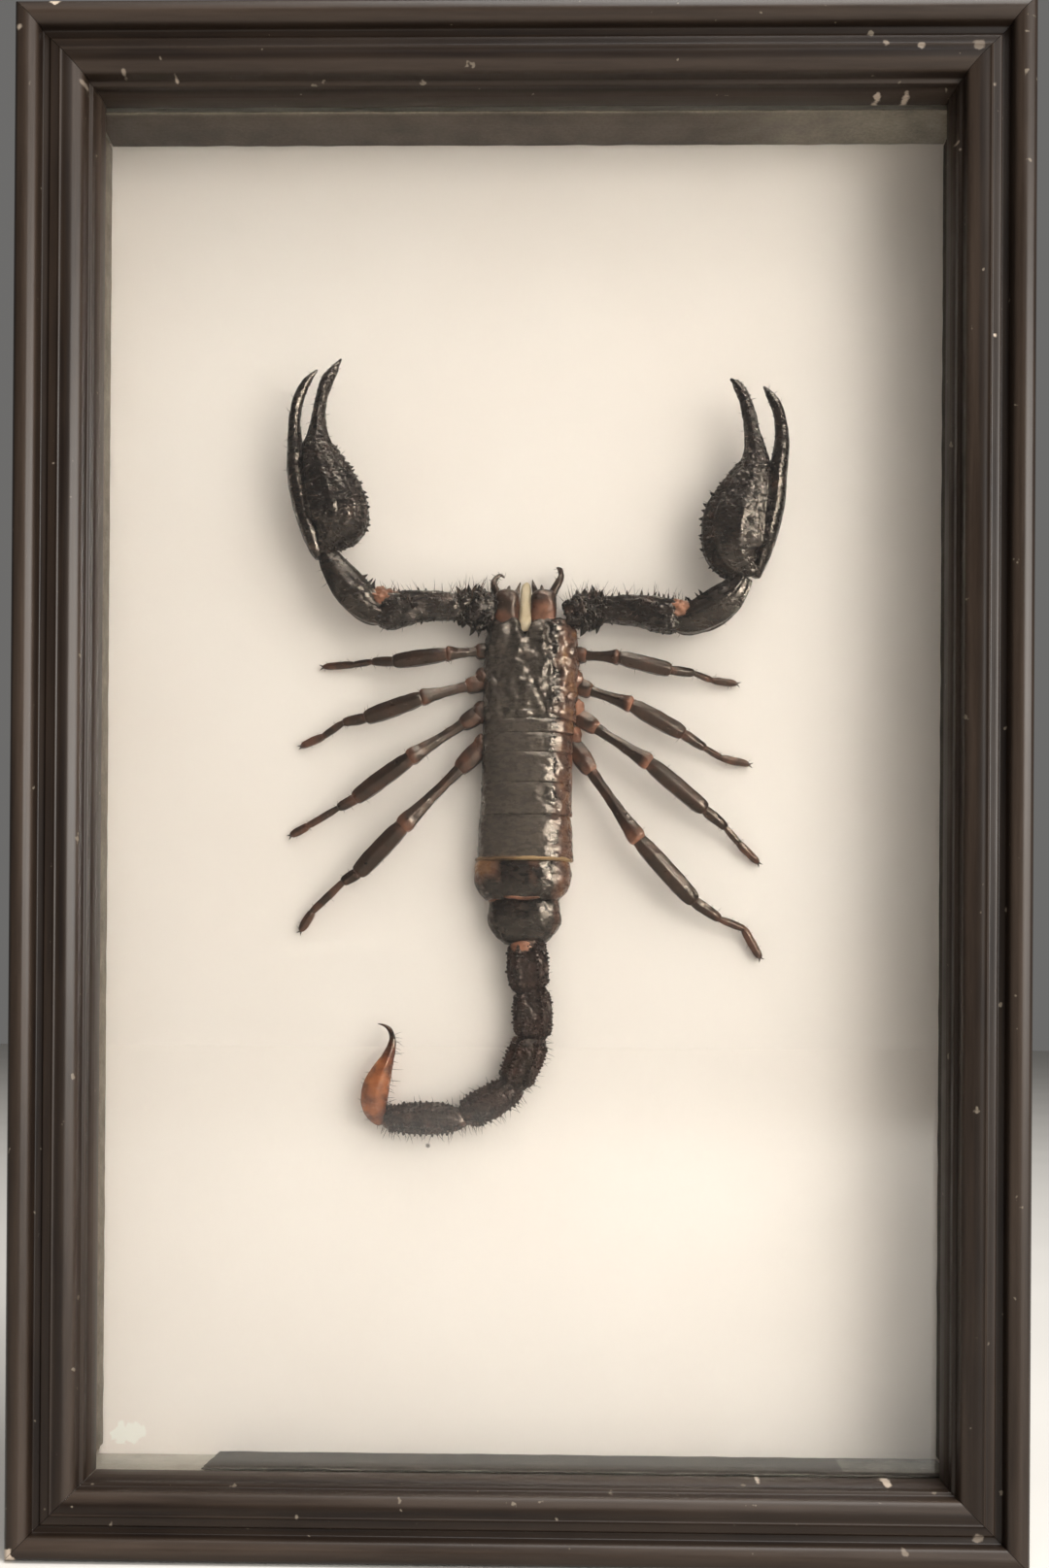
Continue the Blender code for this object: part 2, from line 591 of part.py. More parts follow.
# Jaws: one station list, mirrored about the middle of the head
HEAD_MIDDLE = 0.8
JAW = [(2.7, 158.5, 4.2, 2.0, 2.1), (2.9, 161.8, 4.3, 2.1, 2.2), (3.0, 164.5, 4.2, 2.1, 2.1),
       (3.2, 165.9, 4.1, 1.8, 1.7)]
JAW_OUTER_FINGER = [(4.2, 165.1, 4.0, 1.0, 1.1), (5.2, 166.8, 4.0, 0.83, 0.78), (6.0, 168.3, 3.8, 0.62, 0.58),
                    (5.7, 169.8, 3.6, 0.36, 0.34), (5.2, 170.5, 3.5, 0.1, 0.1)]
JAW_INNER_FINGER = [(2.1, 165.3, 4.0, 0.83, 0.87), (1.6, 166.9, 4.0, 0.62, 0.58), (1.2, 168.2, 3.8, 0.16, 0.15)]

# Legs, front to back: (x, z, height) of base, knee, end of the thick part, ankle, foot and tip
LEGS = {
    "left": [
        [(-5.6, 156.0, 2.9), (-13.2, 154.8, 5.2), (-22.8, 153.8, 3.9), (-26.7, 154.2, 2.8), (-30.0, 154.2, 1.7),
         (-35.9, 153.9, 0.8)],
        [(-5.8, 150.6, 2.9), (-17.4, 147.3, 5.3), (-27.7, 143.8, 3.7), (-32.0, 143.3, 2.6), (-35.1, 141.4, 1.7),
         (-39.7, 139.4, 0.8)],
        [(-6.0, 145.8, 2.9), (-19.4, 136.7, 5.3), (-29.5, 129.5, 3.7), (-32.6, 128.0, 2.6), (-37.2, 125.7, 1.7),
         (-41.5, 123.4, 0.8)],
        [(-6.0, 140.0, 2.9), (-20.4, 124.7, 5.5), (-28.9, 116.2, 3.9), (-31.8, 114.7, 2.8), (-36.8, 111.3, 1.7),
         (-39.5, 106.3, 0.8)],
    ],
    "right": [
        [(8.5, 155.3, 2.9), (16.4, 154.5, 5.2), (26.4, 152.4, 3.9), (30.4, 152.1, 2.8), (33.8, 151.3, 1.7),
         (38.3, 151.0, 0.8)],
        [(8.7, 150.1, 2.9), (19.0, 146.0, 5.3), (28.5, 141.2, 3.7), (32.6, 139.0, 2.6), (35.6, 137.4, 1.7),
         (40.6, 136.4, 0.8)],
        [(8.5, 145.3, 2.9), (22.4, 135.3, 5.3), (32.4, 127.8, 3.7), (36.2, 124.9, 2.6), (38.7, 122.2, 1.7),
         (42.3, 118.8, 0.8)],
        [(8.1, 140.7, 2.9), (20.5, 121.9, 5.5), (30.6, 111.5, 3.9), (35.1, 108.6, 2.8), (39.5, 107.0, 1.7),
         (42.6, 101.9, 0.8)],
    ],
}
LEG_SCALE = (0.91, 1.0, 1.04, 1.14)
# Along each stretch between joints: (share of the stretch, radius)
LEG_STRETCHES = [
    [(0.0, 1.15), (0.3, 0.95), (0.42, 0.7), (0.55, 0.8), (0.9, 0.95)],
    [(0.0, 1.1), (0.12, 0.85), (0.35, 1.15), (0.7, 1.05)],
    [(0.0, 0.65), (0.3, 0.75), (0.8, 0.6)],
    [(0.0, 0.5), (0.25, 0.68), (0.8, 0.6)],
    [(0.0, 0.45), (0.3, 0.55), (0.8, 0.42)],
]
LEG_TIP_RADIUS = 0.2


def leg_shape(joints, scale):
    points = []
    for start, end, stretch in zip(joints, joints[1:], LEG_STRETCHES):
        for share, radius in stretch:
            spot = Vector(start).lerp(Vector(end), share)
            points.append((*spot, radius * scale))
    points.append((*joints[-1], LEG_TIP_RADIUS))
    return tapered_tube(points)


def spines_along(stations, side, count, length, radius, first, last):
    """Small spines along one edge of a lofted piece, side being -1 or 1 across its path."""
    spines = []
    for k in range(count):
        share = first + (last - first) * k / (count - 1)
        whole = share * (len(stations) - 1)
        i = min(int(whole), len(stations) - 2)
        part = whole - i
        x, z, height, half_width, _ = [a + (b - a) * part for a, b in zip(stations[i], stations[i + 1])]
        heading = Vector(stations[i + 1][:2]) - Vector(stations[i][:2])
        outward = Vector((heading.y, -heading.x)).normalized() * side
        base = (x + outward.x * (half_width - 0.6), z + outward.y * (half_width - 0.6), height)
        tip = (x + outward.x * (half_width + length), z + outward.y * (half_width + length), height)
        spines.append(cone_shape(base, tip, radius))
    return spines


def arm_shapes(arm, inner_side):
    """Lofts of one pincer arm with the teeth on the hand's inner edge and the upper arm."""
    shapes = [loft(path_rings(stations, sides=8 if "finger" in name else 12)) for name, stations in arm.items()]
    shapes += spines_along(arm["hand"], inner_side, HAND_SPINES, 0.5, 0.55, 0.22, 0.85)
    shapes += spines_along(arm["femur"], -inner_side, FEMUR_SPINES, 0.5, 0.45, 0.12, 0.85)
    shapes += spines_along(arm["trochanter"], -inner_side, 3, 0.6, 0.5, 0.3, 0.8)
    return shapes


def jaw_shapes(side):
    shapes = []
    for stations in (JAW, JAW_OUTER_FINGER, JAW_INNER_FINGER):
        placed = [(HEAD_MIDDLE + side * (x - HEAD_MIDDLE), z, h, w, t) for x, z, h, w, t in stations]
        shapes.append(loft(path_rings(placed, sides=8)))
    return shapes


def make_scorpion():
    shapes = [loft(path_rings(stations, sides=12, power=0.8)) for stations in TAIL_SEGMENTS]
    shapes.append(loft(path_rings(STING, sides=10, power=1.0)))
    shapes += arm_shapes(ARM_LEFT, 1)
    shapes += arm_shapes(ARM_RIGHT, -1)
    for side in (-1, 1):
        shapes += jaw_shapes(side)
    for legs in LEGS.values():
        shapes += [leg_shape(joints, scale) for joints, scale in zip(legs, LEG_SCALE)]
    body = finish_object("scorpion", trunk_shape(), CHITIN, PARTS)
    for number, shape in enumerate(shapes):
        piece = make_cutter("scorpion_piece_%d" % number, shape)
        add_boolean(body, piece, "UNION")
        bake_modifiers(body)
        bpy.data.objects.remove(piece, do_unlink=True)
    body.data.shade_smooth()
    body.data.set_sharp_from_angle(angle=radians(35))
    return body


make_scorpion()
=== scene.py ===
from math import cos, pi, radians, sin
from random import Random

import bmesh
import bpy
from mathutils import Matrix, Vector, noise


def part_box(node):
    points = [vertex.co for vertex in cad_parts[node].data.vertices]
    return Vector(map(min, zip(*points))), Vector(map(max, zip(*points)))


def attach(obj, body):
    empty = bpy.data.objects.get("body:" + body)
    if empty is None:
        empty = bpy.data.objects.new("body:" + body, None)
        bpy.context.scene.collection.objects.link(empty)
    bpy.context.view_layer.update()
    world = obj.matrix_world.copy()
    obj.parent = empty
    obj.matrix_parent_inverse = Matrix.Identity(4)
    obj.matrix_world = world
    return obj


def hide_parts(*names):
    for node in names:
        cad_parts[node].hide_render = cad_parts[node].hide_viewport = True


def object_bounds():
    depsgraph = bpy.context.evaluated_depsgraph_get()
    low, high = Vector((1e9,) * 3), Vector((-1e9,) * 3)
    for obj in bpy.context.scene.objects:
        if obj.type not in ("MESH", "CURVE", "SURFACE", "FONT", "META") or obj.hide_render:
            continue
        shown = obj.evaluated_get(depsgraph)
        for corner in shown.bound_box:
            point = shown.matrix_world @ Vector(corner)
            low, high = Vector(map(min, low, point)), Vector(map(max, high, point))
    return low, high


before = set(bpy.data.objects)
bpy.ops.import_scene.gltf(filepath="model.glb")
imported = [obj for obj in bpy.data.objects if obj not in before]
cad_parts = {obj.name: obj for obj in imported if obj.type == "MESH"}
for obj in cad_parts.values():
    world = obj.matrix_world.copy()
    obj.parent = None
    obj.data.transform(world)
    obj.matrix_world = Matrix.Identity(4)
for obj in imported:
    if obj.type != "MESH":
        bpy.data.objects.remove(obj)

# %% [markdown]
# # A dried scorpion in a box frame
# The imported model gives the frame: every solid at its place and size. This script
# dresses it. It keeps the flat pieces, such as the glass and the card, and gives
# them materials, and it models the moulding, the linings and the animal anew.
# Lengths are in millimetres where a name doesn't say otherwise, and MM turns them
# into Blender's metres.

MM = 0.001
CAD_BOX = [list(corner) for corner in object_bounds()]
WIDTH = 170.0
HEIGHT = 260.0
FRONT = CAD_BOX[0][1] / MM
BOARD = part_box("mount_board")[0][1] / MM
TOWARDS_VIEWER = Vector((0, -1, 0))
CHANCE = Random(7)


def place(x, z, height):
    """A point of the specimen, height being its height above the card."""
    return Vector((x, BOARD - height, z)) * MM


print("front at y %.2f mm, card at y %.2f mm" % (FRONT, BOARD))

# %% [markdown]
# ## Small helpers
# An operator acts on all that is selected, so each new primitive starts with
# nothing else selected. A finished piece has its place in its mesh, its faces
# turned outwards, and rides on the one body of this object.

# %% Starting and finishing a piece


def add(name, primitive, **settings):
    """Add a primitive with nothing else selected, and name it."""
    bpy.ops.object.select_all(action="DESELECT")
    primitive(**settings)
    piece = bpy.context.object
    piece.name = name
    piece.data.name = name
    return piece


def pick(piece):
    """Select one object alone and make it the active one."""
    bpy.ops.object.select_all(action="DESELECT")
    piece.select_set(True)
    bpy.context.view_layer.objects.active = piece


def face_outwards(piece):
    pick(piece)
    bpy.ops.object.mode_set(mode="EDIT")
    bpy.ops.mesh.select_all(action="SELECT")
    bpy.ops.mesh.normals_make_consistent(inside=False)
    bpy.ops.object.mode_set(mode="OBJECT")


def apply_modifier(piece, kind, **settings):
    """Add a modifier with its settings and apply it at once."""
    pick(piece)
    modifier = piece.modifiers.new(kind.lower(), kind)
    for setting, value in settings.items():
        setattr(modifier, setting, value)
    bpy.ops.object.modifier_apply(modifier=modifier.name)


def finish_piece(piece, material, node, angle=40):
    """Apply the place, turn faces outwards, shade, and hang the piece on its node."""
    face_outwards(piece)
    bpy.ops.object.transform_apply(location=True, rotation=True, scale=True)
    bpy.ops.object.shade_smooth_by_angle(angle=radians(angle))
    piece.data.materials.clear()
    piece.data.materials.append(material)
    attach(piece, "root")
    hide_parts(node)
    return piece


def paint(piece, name, rule):
    """Give each point a value from its place: rule(x, z, height above the card)."""
    layer = piece.data.attributes.get(name) or piece.data.attributes.new(name, "FLOAT", "POINT")
    for vert, mark in zip(piece.data.vertices, layer.data):
        mark.value = rule(vert.co.x / MM, vert.co.z / MM, BOARD - vert.co.y / MM)


# %% [markdown]
# ## Materials
# Colours are written as the sRGB hex values that a colour picker shows, and one
# function turns them into the linear values that Blender reckons with. One helper
# adds a node: a value given for an input is set on it, and a socket is linked.

# %% Colour and node helpers
MIX_A, MIX_B, MIX_RESULT = 6, 7, 2


def srgb(hex_colour):
    """Linear colour of a six-digit sRGB hex value."""
    channels = [int(hex_colour[i : i + 2], 16) / 255 for i in (0, 2, 4)]
    return (*[c / 12.92 if c <= 0.04045 else ((c + 0.055) / 1.055) ** 2.4 for c in channels], 1.0)


def per_mm(size):
    """Scale of a pattern whose marks are this many millimetres long."""
    return 1 / (size * MM)


def add_node(tree, kind, inputs=None, output=0, **settings):
    """Add a node, set its properties, set or link its inputs, and return an output."""
    made = tree.nodes.new(kind)
    for setting, value in settings.items():
        setattr(made, setting, value)
    for key, value in (inputs or {}).items():
        if isinstance(value, bpy.types.NodeSocket):
            tree.links.new(value, made.inputs[key])
        else:
            made.inputs[key].default_value = value
    return made.outputs[output]


def new_material(name):
    """A material, its tree, its shader and its Object coordinates."""
    material = bpy.data.materials.new(name)
    material.use_nodes = True
    tree = material.node_tree
    where = add_node(tree, "ShaderNodeTexCoord", output="Object")
    return material, tree, tree.nodes["Principled BSDF"], where


def share_of_marks(tree, where, marks):
    """How far a point lies in ragged round marks, each (x, z, radius, strength)."""
    flat = add_node(tree, "ShaderNodeMapping", {"Vector": where, "Scale": (1, 0, 1)})
    ragged = add_node(tree, "ShaderNodeTexNoise", {"Vector": where, "Scale": per_mm(1.2), "Detail": 5.0})
    total = None
    for x, z, radius, strength in marks:
        centre = (x * MM, 0, z * MM)
        away = add_node(tree, "ShaderNodeVectorMath", {0: flat, 1: centre}, output="Value", operation="DISTANCE")
        reach = add_node(tree, "ShaderNodeMath", {0: ragged, 1: 2 * radius * MM}, operation="MULTIPLY")
        gap = add_node(tree, "ShaderNodeMath", {0: reach, 1: away}, operation="SUBTRACT")
        limits = {"Value": gap, 1: 0.0, 2: 0.3 * MM, 3: 0.0, 4: strength}
        mark = add_node(tree, "ShaderNodeMapRange", limits)
        total = mark if total is None else add_node(tree, "ShaderNodeMath", {0: total, 1: mark}, operation="MAXIMUM")
    return total


print("a mark of 1 mm has scale", per_mm(1))

# %% [markdown]
# ### Stained wood
# The moulding is soft wood with a nearly black stain that was rubbed to a dull satin.
# The eye gets black hollows, soft glints along the ridges, a faint lengthwise grain,
# ridges painted lighter, partly where handling has rubbed them and partly as a painted
# highlight on the slopes that face the light, and knocks where pale wood shows. This
# wear and painted highlight comes from an attribute of the rails, and the knocks have
# places of their own. One colour lies over another, as the layers of a finish do, so
# a loop mixes them in turn.

# %% Stained wood
# Each knock: (x, z, radius, strength)
KNOCKS = [
    (-77.8, 259.4, 1.1, 0.6), (-83.7, 254.9, 0.6, 0.35), (-67.0, 249.0, 0.5, 0.25), (-58.5, 248.5, 0.35, 0.5),
    (-73.8, 247.1, 0.6, 0.15), (60.0, 252.6, 0.6, 0.25), (65.7, 252.3, 0.6, 0.25), (75.3, 252.3, 1.0, 0.14),
    (72.6, 238.0, 0.35, 0.6), (73.0, 236.6, 0.3, 0.5), (77.8, 245.7, 0.5, 0.2), (78.1, 204.2, 0.35, 0.6),
    (59.7, 246.4, 0.9, 0.5), (64.5, 246.6, 0.7, 0.5), (67.8, 246.2, 0.45, 0.4), (-84.1, 1.2, 1.4, 0.7),
    (76.5, 5.6, 0.9, 0.18), (64.1, 3.7, 0.7, 0.16), (40.9, 13.0, 0.4, 0.5), (62.5, 13.2, 0.8, 0.5),
]


def make_wood(name, along):
    """Wood with its grain drawn out along one axis, whose scale is the small one."""
    material, tree, shader, where = new_material(name)
    drawn = add_node(tree, "ShaderNodeMapping", {"Vector": where, "Scale": along})
    grain = add_node(tree, "ShaderNodeTexNoise", {"Vector": drawn, "Scale": per_mm(1.1), "Detail": 6.0})
    blotch = add_node(tree, "ShaderNodeTexNoise", {"Vector": where, "Scale": per_mm(22), "Detail": 3.0})
    rubbing = {"Vector": drawn, "Scale": per_mm(4), "Detail": 8.0, "Roughness": 0.7}
    scuffs = add_node(tree, "ShaderNodeTexNoise", rubbing)
    flecks = add_node(tree, "ShaderNodeTexNoise", {"Vector": where, "Scale": per_mm(2.2), "Detail": 2.0})
    wear_and_highlight = add_node(tree, "ShaderNodeAttribute", output="Fac", attribute_name="wear_and_highlight")
    streak = add_node(tree, "ShaderNodeMapRange", {"Value": grain, 1: 0.35, 2: 0.7})
    cloudy = add_node(tree, "ShaderNodeMapRange", {"Value": blotch, 1: 0.45, 2: 0.75, 3: 0.0, 4: 0.5})
    patchy = add_node(tree, "ShaderNodeMapRange", {"Value": scuffs, 1: 0.35, 2: 0.7, 3: 0.25, 4: 1.0})
    rubbed_and_lit = add_node(tree, "ShaderNodeMath", {0: wear_and_highlight, 1: patchy}, operation="MULTIPLY")
    dust = add_node(tree, "ShaderNodeMapRange", {"Value": flecks, 1: 0.735, 2: 0.76, 3: 0.0, 4: 0.35})
    knocks = share_of_marks(tree, where, KNOCKS)
    base = srgb("120C09")
    # The lighter layer on the ridges is rubbing, and also a painted highlight where the ridges face the light
    layers = [(streak, "1D150F"), (cloudy, "221A14"), (rubbed_and_lit, "42372F"), (dust, "8F8475"), (knocks, "C9B8A6")]
    for share, tone in layers:
        inputs = {0: share, MIX_A: base, MIX_B: srgb(tone)}
        base = add_node(tree, "ShaderNodeMix", inputs, MIX_RESULT, data_type="RGBA")
    tree.links.new(base, shader.inputs["Base Color"])
    matt = add_node(tree, "ShaderNodeMapRange", {"Value": scuffs, 1: 0.3, 2: 0.75, 3: 0.3, 4: 0.44})
    tree.links.new(matt, shader.inputs["Roughness"])
    swell = add_node(tree, "ShaderNodeBump", {"Height": blotch, "Distance": 0.3 * MM, "Strength": 0.4})
    fine = {"Height": grain, "Distance": 0.05 * MM, "Strength": 0.45, "Normal": swell}
    pores = add_node(tree, "ShaderNodeBump", fine)
    deep = {"Height": knocks, "Distance": -0.2 * MM, "Strength": 0.6, "Normal": pores}
    dents = add_node(tree, "ShaderNodeBump", deep)
    tree.links.new(dents, shader.inputs["Normal"])
    shader.inputs["Specular IOR Level"].default_value = 0.18
    return material


WOOD_UPRIGHT = make_wood("stained_wood_upright", (1, 1, 0.05))
WOOD_LEVEL = make_wood("stained_wood_level", (0.05, 1, 1))
print("knocks on the frame:", len(KNOCKS))

# %% [markdown]
# ### Glass and card
# The pane is plain picture glass, drawn and polished, so it is clear with the
# faintest haze. The card is smooth and matt, cream, with a tooth too fine to see:
# it is drawn at half a millimetre so that it just breaks up the flat tone. One paler
# patch lies in its lower left corner, and a few dark specks of dust lie about.

# %% Glass
GLASS, tree, shader, where = new_material("picture_glass_polished")
haze = add_node(tree, "ShaderNodeTexNoise", {"Vector": where, "Scale": per_mm(30), "Detail": 2.0})
film = add_node(tree, "ShaderNodeMapRange", {"Value": haze, 1: 0.4, 2: 0.8, 3: 0.0, 4: 0.012})
tree.links.new(film, shader.inputs["Roughness"])
shader.inputs["Base Color"].default_value = srgb("FBFDFB")
shader.inputs["Transmission Weight"].default_value = 1.0
shader.inputs["IOR"].default_value = 1.5
print("glass nodes:", len(tree.nodes))

# %% Card
PALE_PATCHES = [(-70.9, 15.7, 2.1, 0.9), (-68.4, 16.2, 1.8, 0.8)]
SPECKS = [
    (-16.4, 67.9, 0.45, 0.8), (-30.5, 70.4, 0.2, 0.5), (38.0, 98.0, 0.22, 0.4), (21.5, 52.0, 0.2, 0.35),
    (-52.0, 172.0, 0.2, 0.3),
]
CARD, tree, shader, where = new_material("cream_card_pressed")
blotch = add_node(tree, "ShaderNodeTexNoise", {"Vector": where, "Scale": per_mm(45), "Detail": 4.0})
tooth = add_node(tree, "ShaderNodeTexNoise", {"Vector": where, "Scale": per_mm(0.5), "Detail": 3.0})
fine = add_node(tree, "ShaderNodeMapRange", {"Value": tooth, 1: 0.35, 2: 0.7, 3: 0.0, 4: 0.1})
paler_patches = share_of_marks(tree, where, PALE_PATCHES)
specked = share_of_marks(tree, where, SPECKS)
base = srgb("F1E3DA")
for share, tone in [(blotch, "F8EDE6"), (fine, "DCCCC0"), (paler_patches, "FBF7EF"), (specked, "5A4A3C")]:
    inputs = {0: share, MIX_A: base, MIX_B: srgb(tone)}
    base = add_node(tree, "ShaderNodeMix", inputs, MIX_RESULT, data_type="RGBA")
tree.links.new(base, shader.inputs["Base Color"])
matt = add_node(tree, "ShaderNodeMapRange", {"Value": tooth, 1: 0.2, 2: 0.8, 3: 0.8, 4: 0.95})
tree.links.new(matt, shader.inputs["Roughness"])
toothed = add_node(tree, "ShaderNodeBump", {"Height": tooth, "Distance": 0.02 * MM, "Strength": 0.4})
tree.links.new(toothed, shader.inputs["Normal"])
print("marks on the card:", len(PALE_PATCHES) + len(SPECKS))

# %% [markdown]
# ### Paper, foam board and hardboard
# The lining is dark paper, rubbed grey and mottled where an attribute is high: at
# its torn and front edges. The same lighter tone also paints light on the left
# strip, which faces the light, and on the right end of the top strip. The foam
# board has a matt, slightly dirty white face. The back is hardboard, pressed from
# brown fibre, with a fine felted surface. One function serves these matt sheets,
# because they differ only in their tones and the size of their marks.

# %% Matt sheets


def make_sheet(name, dark, light, worn_and_lit_tone, mark_mm, relief_mm):
    """A matt sheet in two tones, with a third where an attribute marks rubbing and painted light."""
    material, tree, shader, where = new_material(name)
    mottle = {"Vector": where, "Scale": per_mm(mark_mm), "Detail": 6.0, "Roughness": 0.6}
    blotch = add_node(tree, "ShaderNodeTexNoise", mottle)
    fibre = add_node(tree, "ShaderNodeTexNoise", {"Vector": where, "Scale": per_mm(0.6), "Detail": 4.0})
    worn_and_lit = add_node(tree, "ShaderNodeAttribute", output="Fac", attribute_name="worn_and_lit")
    patchy = add_node(tree, "ShaderNodeMapRange", {"Value": blotch, 1: 0.3, 2: 0.7})
    ragged = add_node(tree, "ShaderNodeMapRange", {"Value": blotch, 1: 0.3, 2: 0.7, 3: 0.55, 4: 1.35})
    rubbed_and_lit = add_node(tree, "ShaderNodeMath", {0: worn_and_lit, 1: ragged}, operation="MULTIPLY", use_clamp=True)
    fine = add_node(tree, "ShaderNodeMapRange", {"Value": fibre, 1: 0.35, 2: 0.7, 3: 0.0, 4: 0.25})
    base = srgb(dark)
    for share, tone in [(patchy, light), (rubbed_and_lit, worn_and_lit_tone), (fine, dark)]:
        inputs = {0: share, MIX_A: base, MIX_B: srgb(tone)}
        base = add_node(tree, "ShaderNodeMix", inputs, MIX_RESULT, data_type="RGBA")
    tree.links.new(base, shader.inputs["Base Color"])
    matt = add_node(tree, "ShaderNodeMapRange", {"Value": fibre, 1: 0.2, 2: 0.8, 3: 0.68, 4: 0.9})
    tree.links.new(matt, shader.inputs["Roughness"])
    felted = add_node(tree, "ShaderNodeBump", {"Height": fibre, "Distance": relief_mm * MM, "Strength": 0.6})
    tree.links.new(felted, shader.inputs["Normal"])
    return material


FOAM = make_sheet("white_foam_board_cut", "A19A90", "B9B1A6", "B9B1A6", 6.0, 0.04)
LINING = make_sheet("dark_lining_paper_folded", "2E2721", "433A32", "7C766E", 5.0, 0.05)
LINING_BROWN = make_sheet("brown_lining_paper_rubbed_and_lit", "453B33", "5E534A", "A59B8C", 8.0, 0.05)
LINING_RUBBED_AND_LIT = make_sheet("lining_paper_rubbed_and_lit", "4B4239", "6B6055", "9B9184", 3.5, 0.06)
HARDBOARD = make_sheet("hardboard_pressed", "6B4F33", "86664A", "86664A", 3.0, 0.08)
print("materials:", len(bpy.data.materials))

# %% [markdown]
# ### Zinced steel
# The hanger, its nails and the tabs are thin sheet or wire with a zinc coat: pale
# grey, metallic, with the faint crystal patches that zinc leaves, 2 or 3 mm across.

# %% Zinced steel
STEEL, tree, shader, where = new_material("zinced_steel_sheet")
crystals = add_node(tree, "ShaderNodeTexVoronoi", {"Vector": where, "Scale": per_mm(2.5)}, output="Distance")
tone = add_node(tree, "ShaderNodeMapRange", {"Value": crystals, 1: 0.1, 2: 0.6})
inputs = {0: tone, MIX_A: srgb("8E8E8A"), MIX_B: srgb("B5B5B0")}
base = add_node(tree, "ShaderNodeMix", inputs, MIX_RESULT, data_type="RGBA")
tree.links.new(base, shader.inputs["Base Color"])
matt = add_node(tree, "ShaderNodeMapRange", {"Value": crystals, 1: 0.0, 2: 0.7, 3: 0.3, 4: 0.45})
tree.links.new(matt, shader.inputs["Roughness"])
shader.inputs["Metallic"].default_value = 1.0
print("steel nodes:", len(tree.nodes))

# %% [markdown]
# ### Shell of the scorpion
# Dried chitin is hard and nearly black, with a satin gloss that breaks up on
# grains and fine wrinkles. Where the shell is thin, at the joints, the feet and
# the sting, it is orange to reddish brown, and the back is greyed, partly by dust
# and partly by a painted sheen where the light glances off its top. Attributes
# carry both: warm, from 0 on the thick black shell to 1 on the thin orange skin,
# and a share of dust and painted sheen, from 0 to 1. Both are made patchy by the
# same noise. The legs, the tail and the sting are thinner than the trunk, so each
# has its own tones, and so do the soft skin and the pale strip between the jaws.

# %% Shell of the scorpion


# Grey of the dust on the back, which also paints the sheen where light glances off its top
DUST_AND_SHEEN_TONE = "524840"


def make_chitin(name, grain_mm, grain_depth, gloss, dark, flush, red, thin, shine=0.5):
    """Shell in four tones from thick to thin, with grains of a size and a depth."""
    material, tree, shader, where = new_material(name)
    warm = add_node(tree, "ShaderNodeAttribute", output="Fac", attribute_name="warm")
    dust_and_sheen = add_node(tree, "ShaderNodeAttribute", output="Fac", attribute_name="dust_and_sheen")
    blotch = add_node(tree, "ShaderNodeTexNoise", {"Vector": where, "Scale": per_mm(2.6), "Detail": 5.0})
    grains = add_node(tree, "ShaderNodeTexVoronoi", {"Vector": where, "Scale": per_mm(grain_mm)}, output="Distance")
    drawn = add_node(tree, "ShaderNodeMapping", {"Vector": where, "Scale": (0.6, 1, 1.4)})
    wrinkle = add_node(tree, "ShaderNodeTexNoise", {"Vector": drawn, "Scale": per_mm(0.9), "Detail": 5.0})
    browner = add_node(tree, "ShaderNodeMapRange", {"Value": blotch, 1: 0.42, 2: 0.72, 3: 0.0, 4: 0.7})
    uneven = add_node(tree, "ShaderNodeMapRange", {"Value": blotch, 1: 0.3, 2: 0.7, 3: -0.24, 4: 0.24})
    mottled = add_node(tree, "ShaderNodeMath", {0: uneven, 1: warm})
    redder = add_node(tree, "ShaderNodeMapRange", {"Value": mottled, 1: 0.16, 2: 0.55})
    paler = add_node(tree, "ShaderNodeMapRange", {"Value": mottled, 1: 0.55, 2: 1.0})
    grey_patches = add_node(tree, "ShaderNodeMapRange", {"Value": blotch, 1: 0.25, 2: 0.75, 3: 0.85, 4: 1.0})
    dust_and_sheen_share = add_node(tree, "ShaderNodeMath", {0: dust_and_sheen, 1: grey_patches}, operation="MULTIPLY", use_clamp=True)
    base = srgb(dark)
    # The last layer lays grey over the back: dust, and a painted sheen on its top
    for share, tone in [(browner, flush), (redder, red), (paler, thin), (dust_and_sheen_share, DUST_AND_SHEEN_TONE)]:
        inputs = {0: share, MIX_A: base, MIX_B: srgb(tone)}
        base = add_node(tree, "ShaderNodeMix", inputs, MIX_RESULT, data_type="RGBA")
    tree.links.new(base, shader.inputs["Base Color"])
    uneven_gloss = {"Value": wrinkle, 1: 0.25, 2: 0.75, 3: gloss - 0.06, 4: gloss + 0.14}
    matt = add_node(tree, "ShaderNodeMapRange", uneven_gloss)
    tree.links.new(matt, shader.inputs["Roughness"])
    creased = add_node(tree, "ShaderNodeBump", {"Height": wrinkle, "Distance": 0.1 * MM, "Strength": 0.36})
    relief = {"Height": grains, "Distance": -grain_depth * MM, "Strength": 0.8, "Normal": creased}
    grained = add_node(tree, "ShaderNodeBump", relief)
    tree.links.new(grained, shader.inputs["Normal"])
    shader.inputs["Specular IOR Level"].default_value = shine
    shader.inputs["Specular Tint"].default_value = srgb("FFE9D8")
    return material


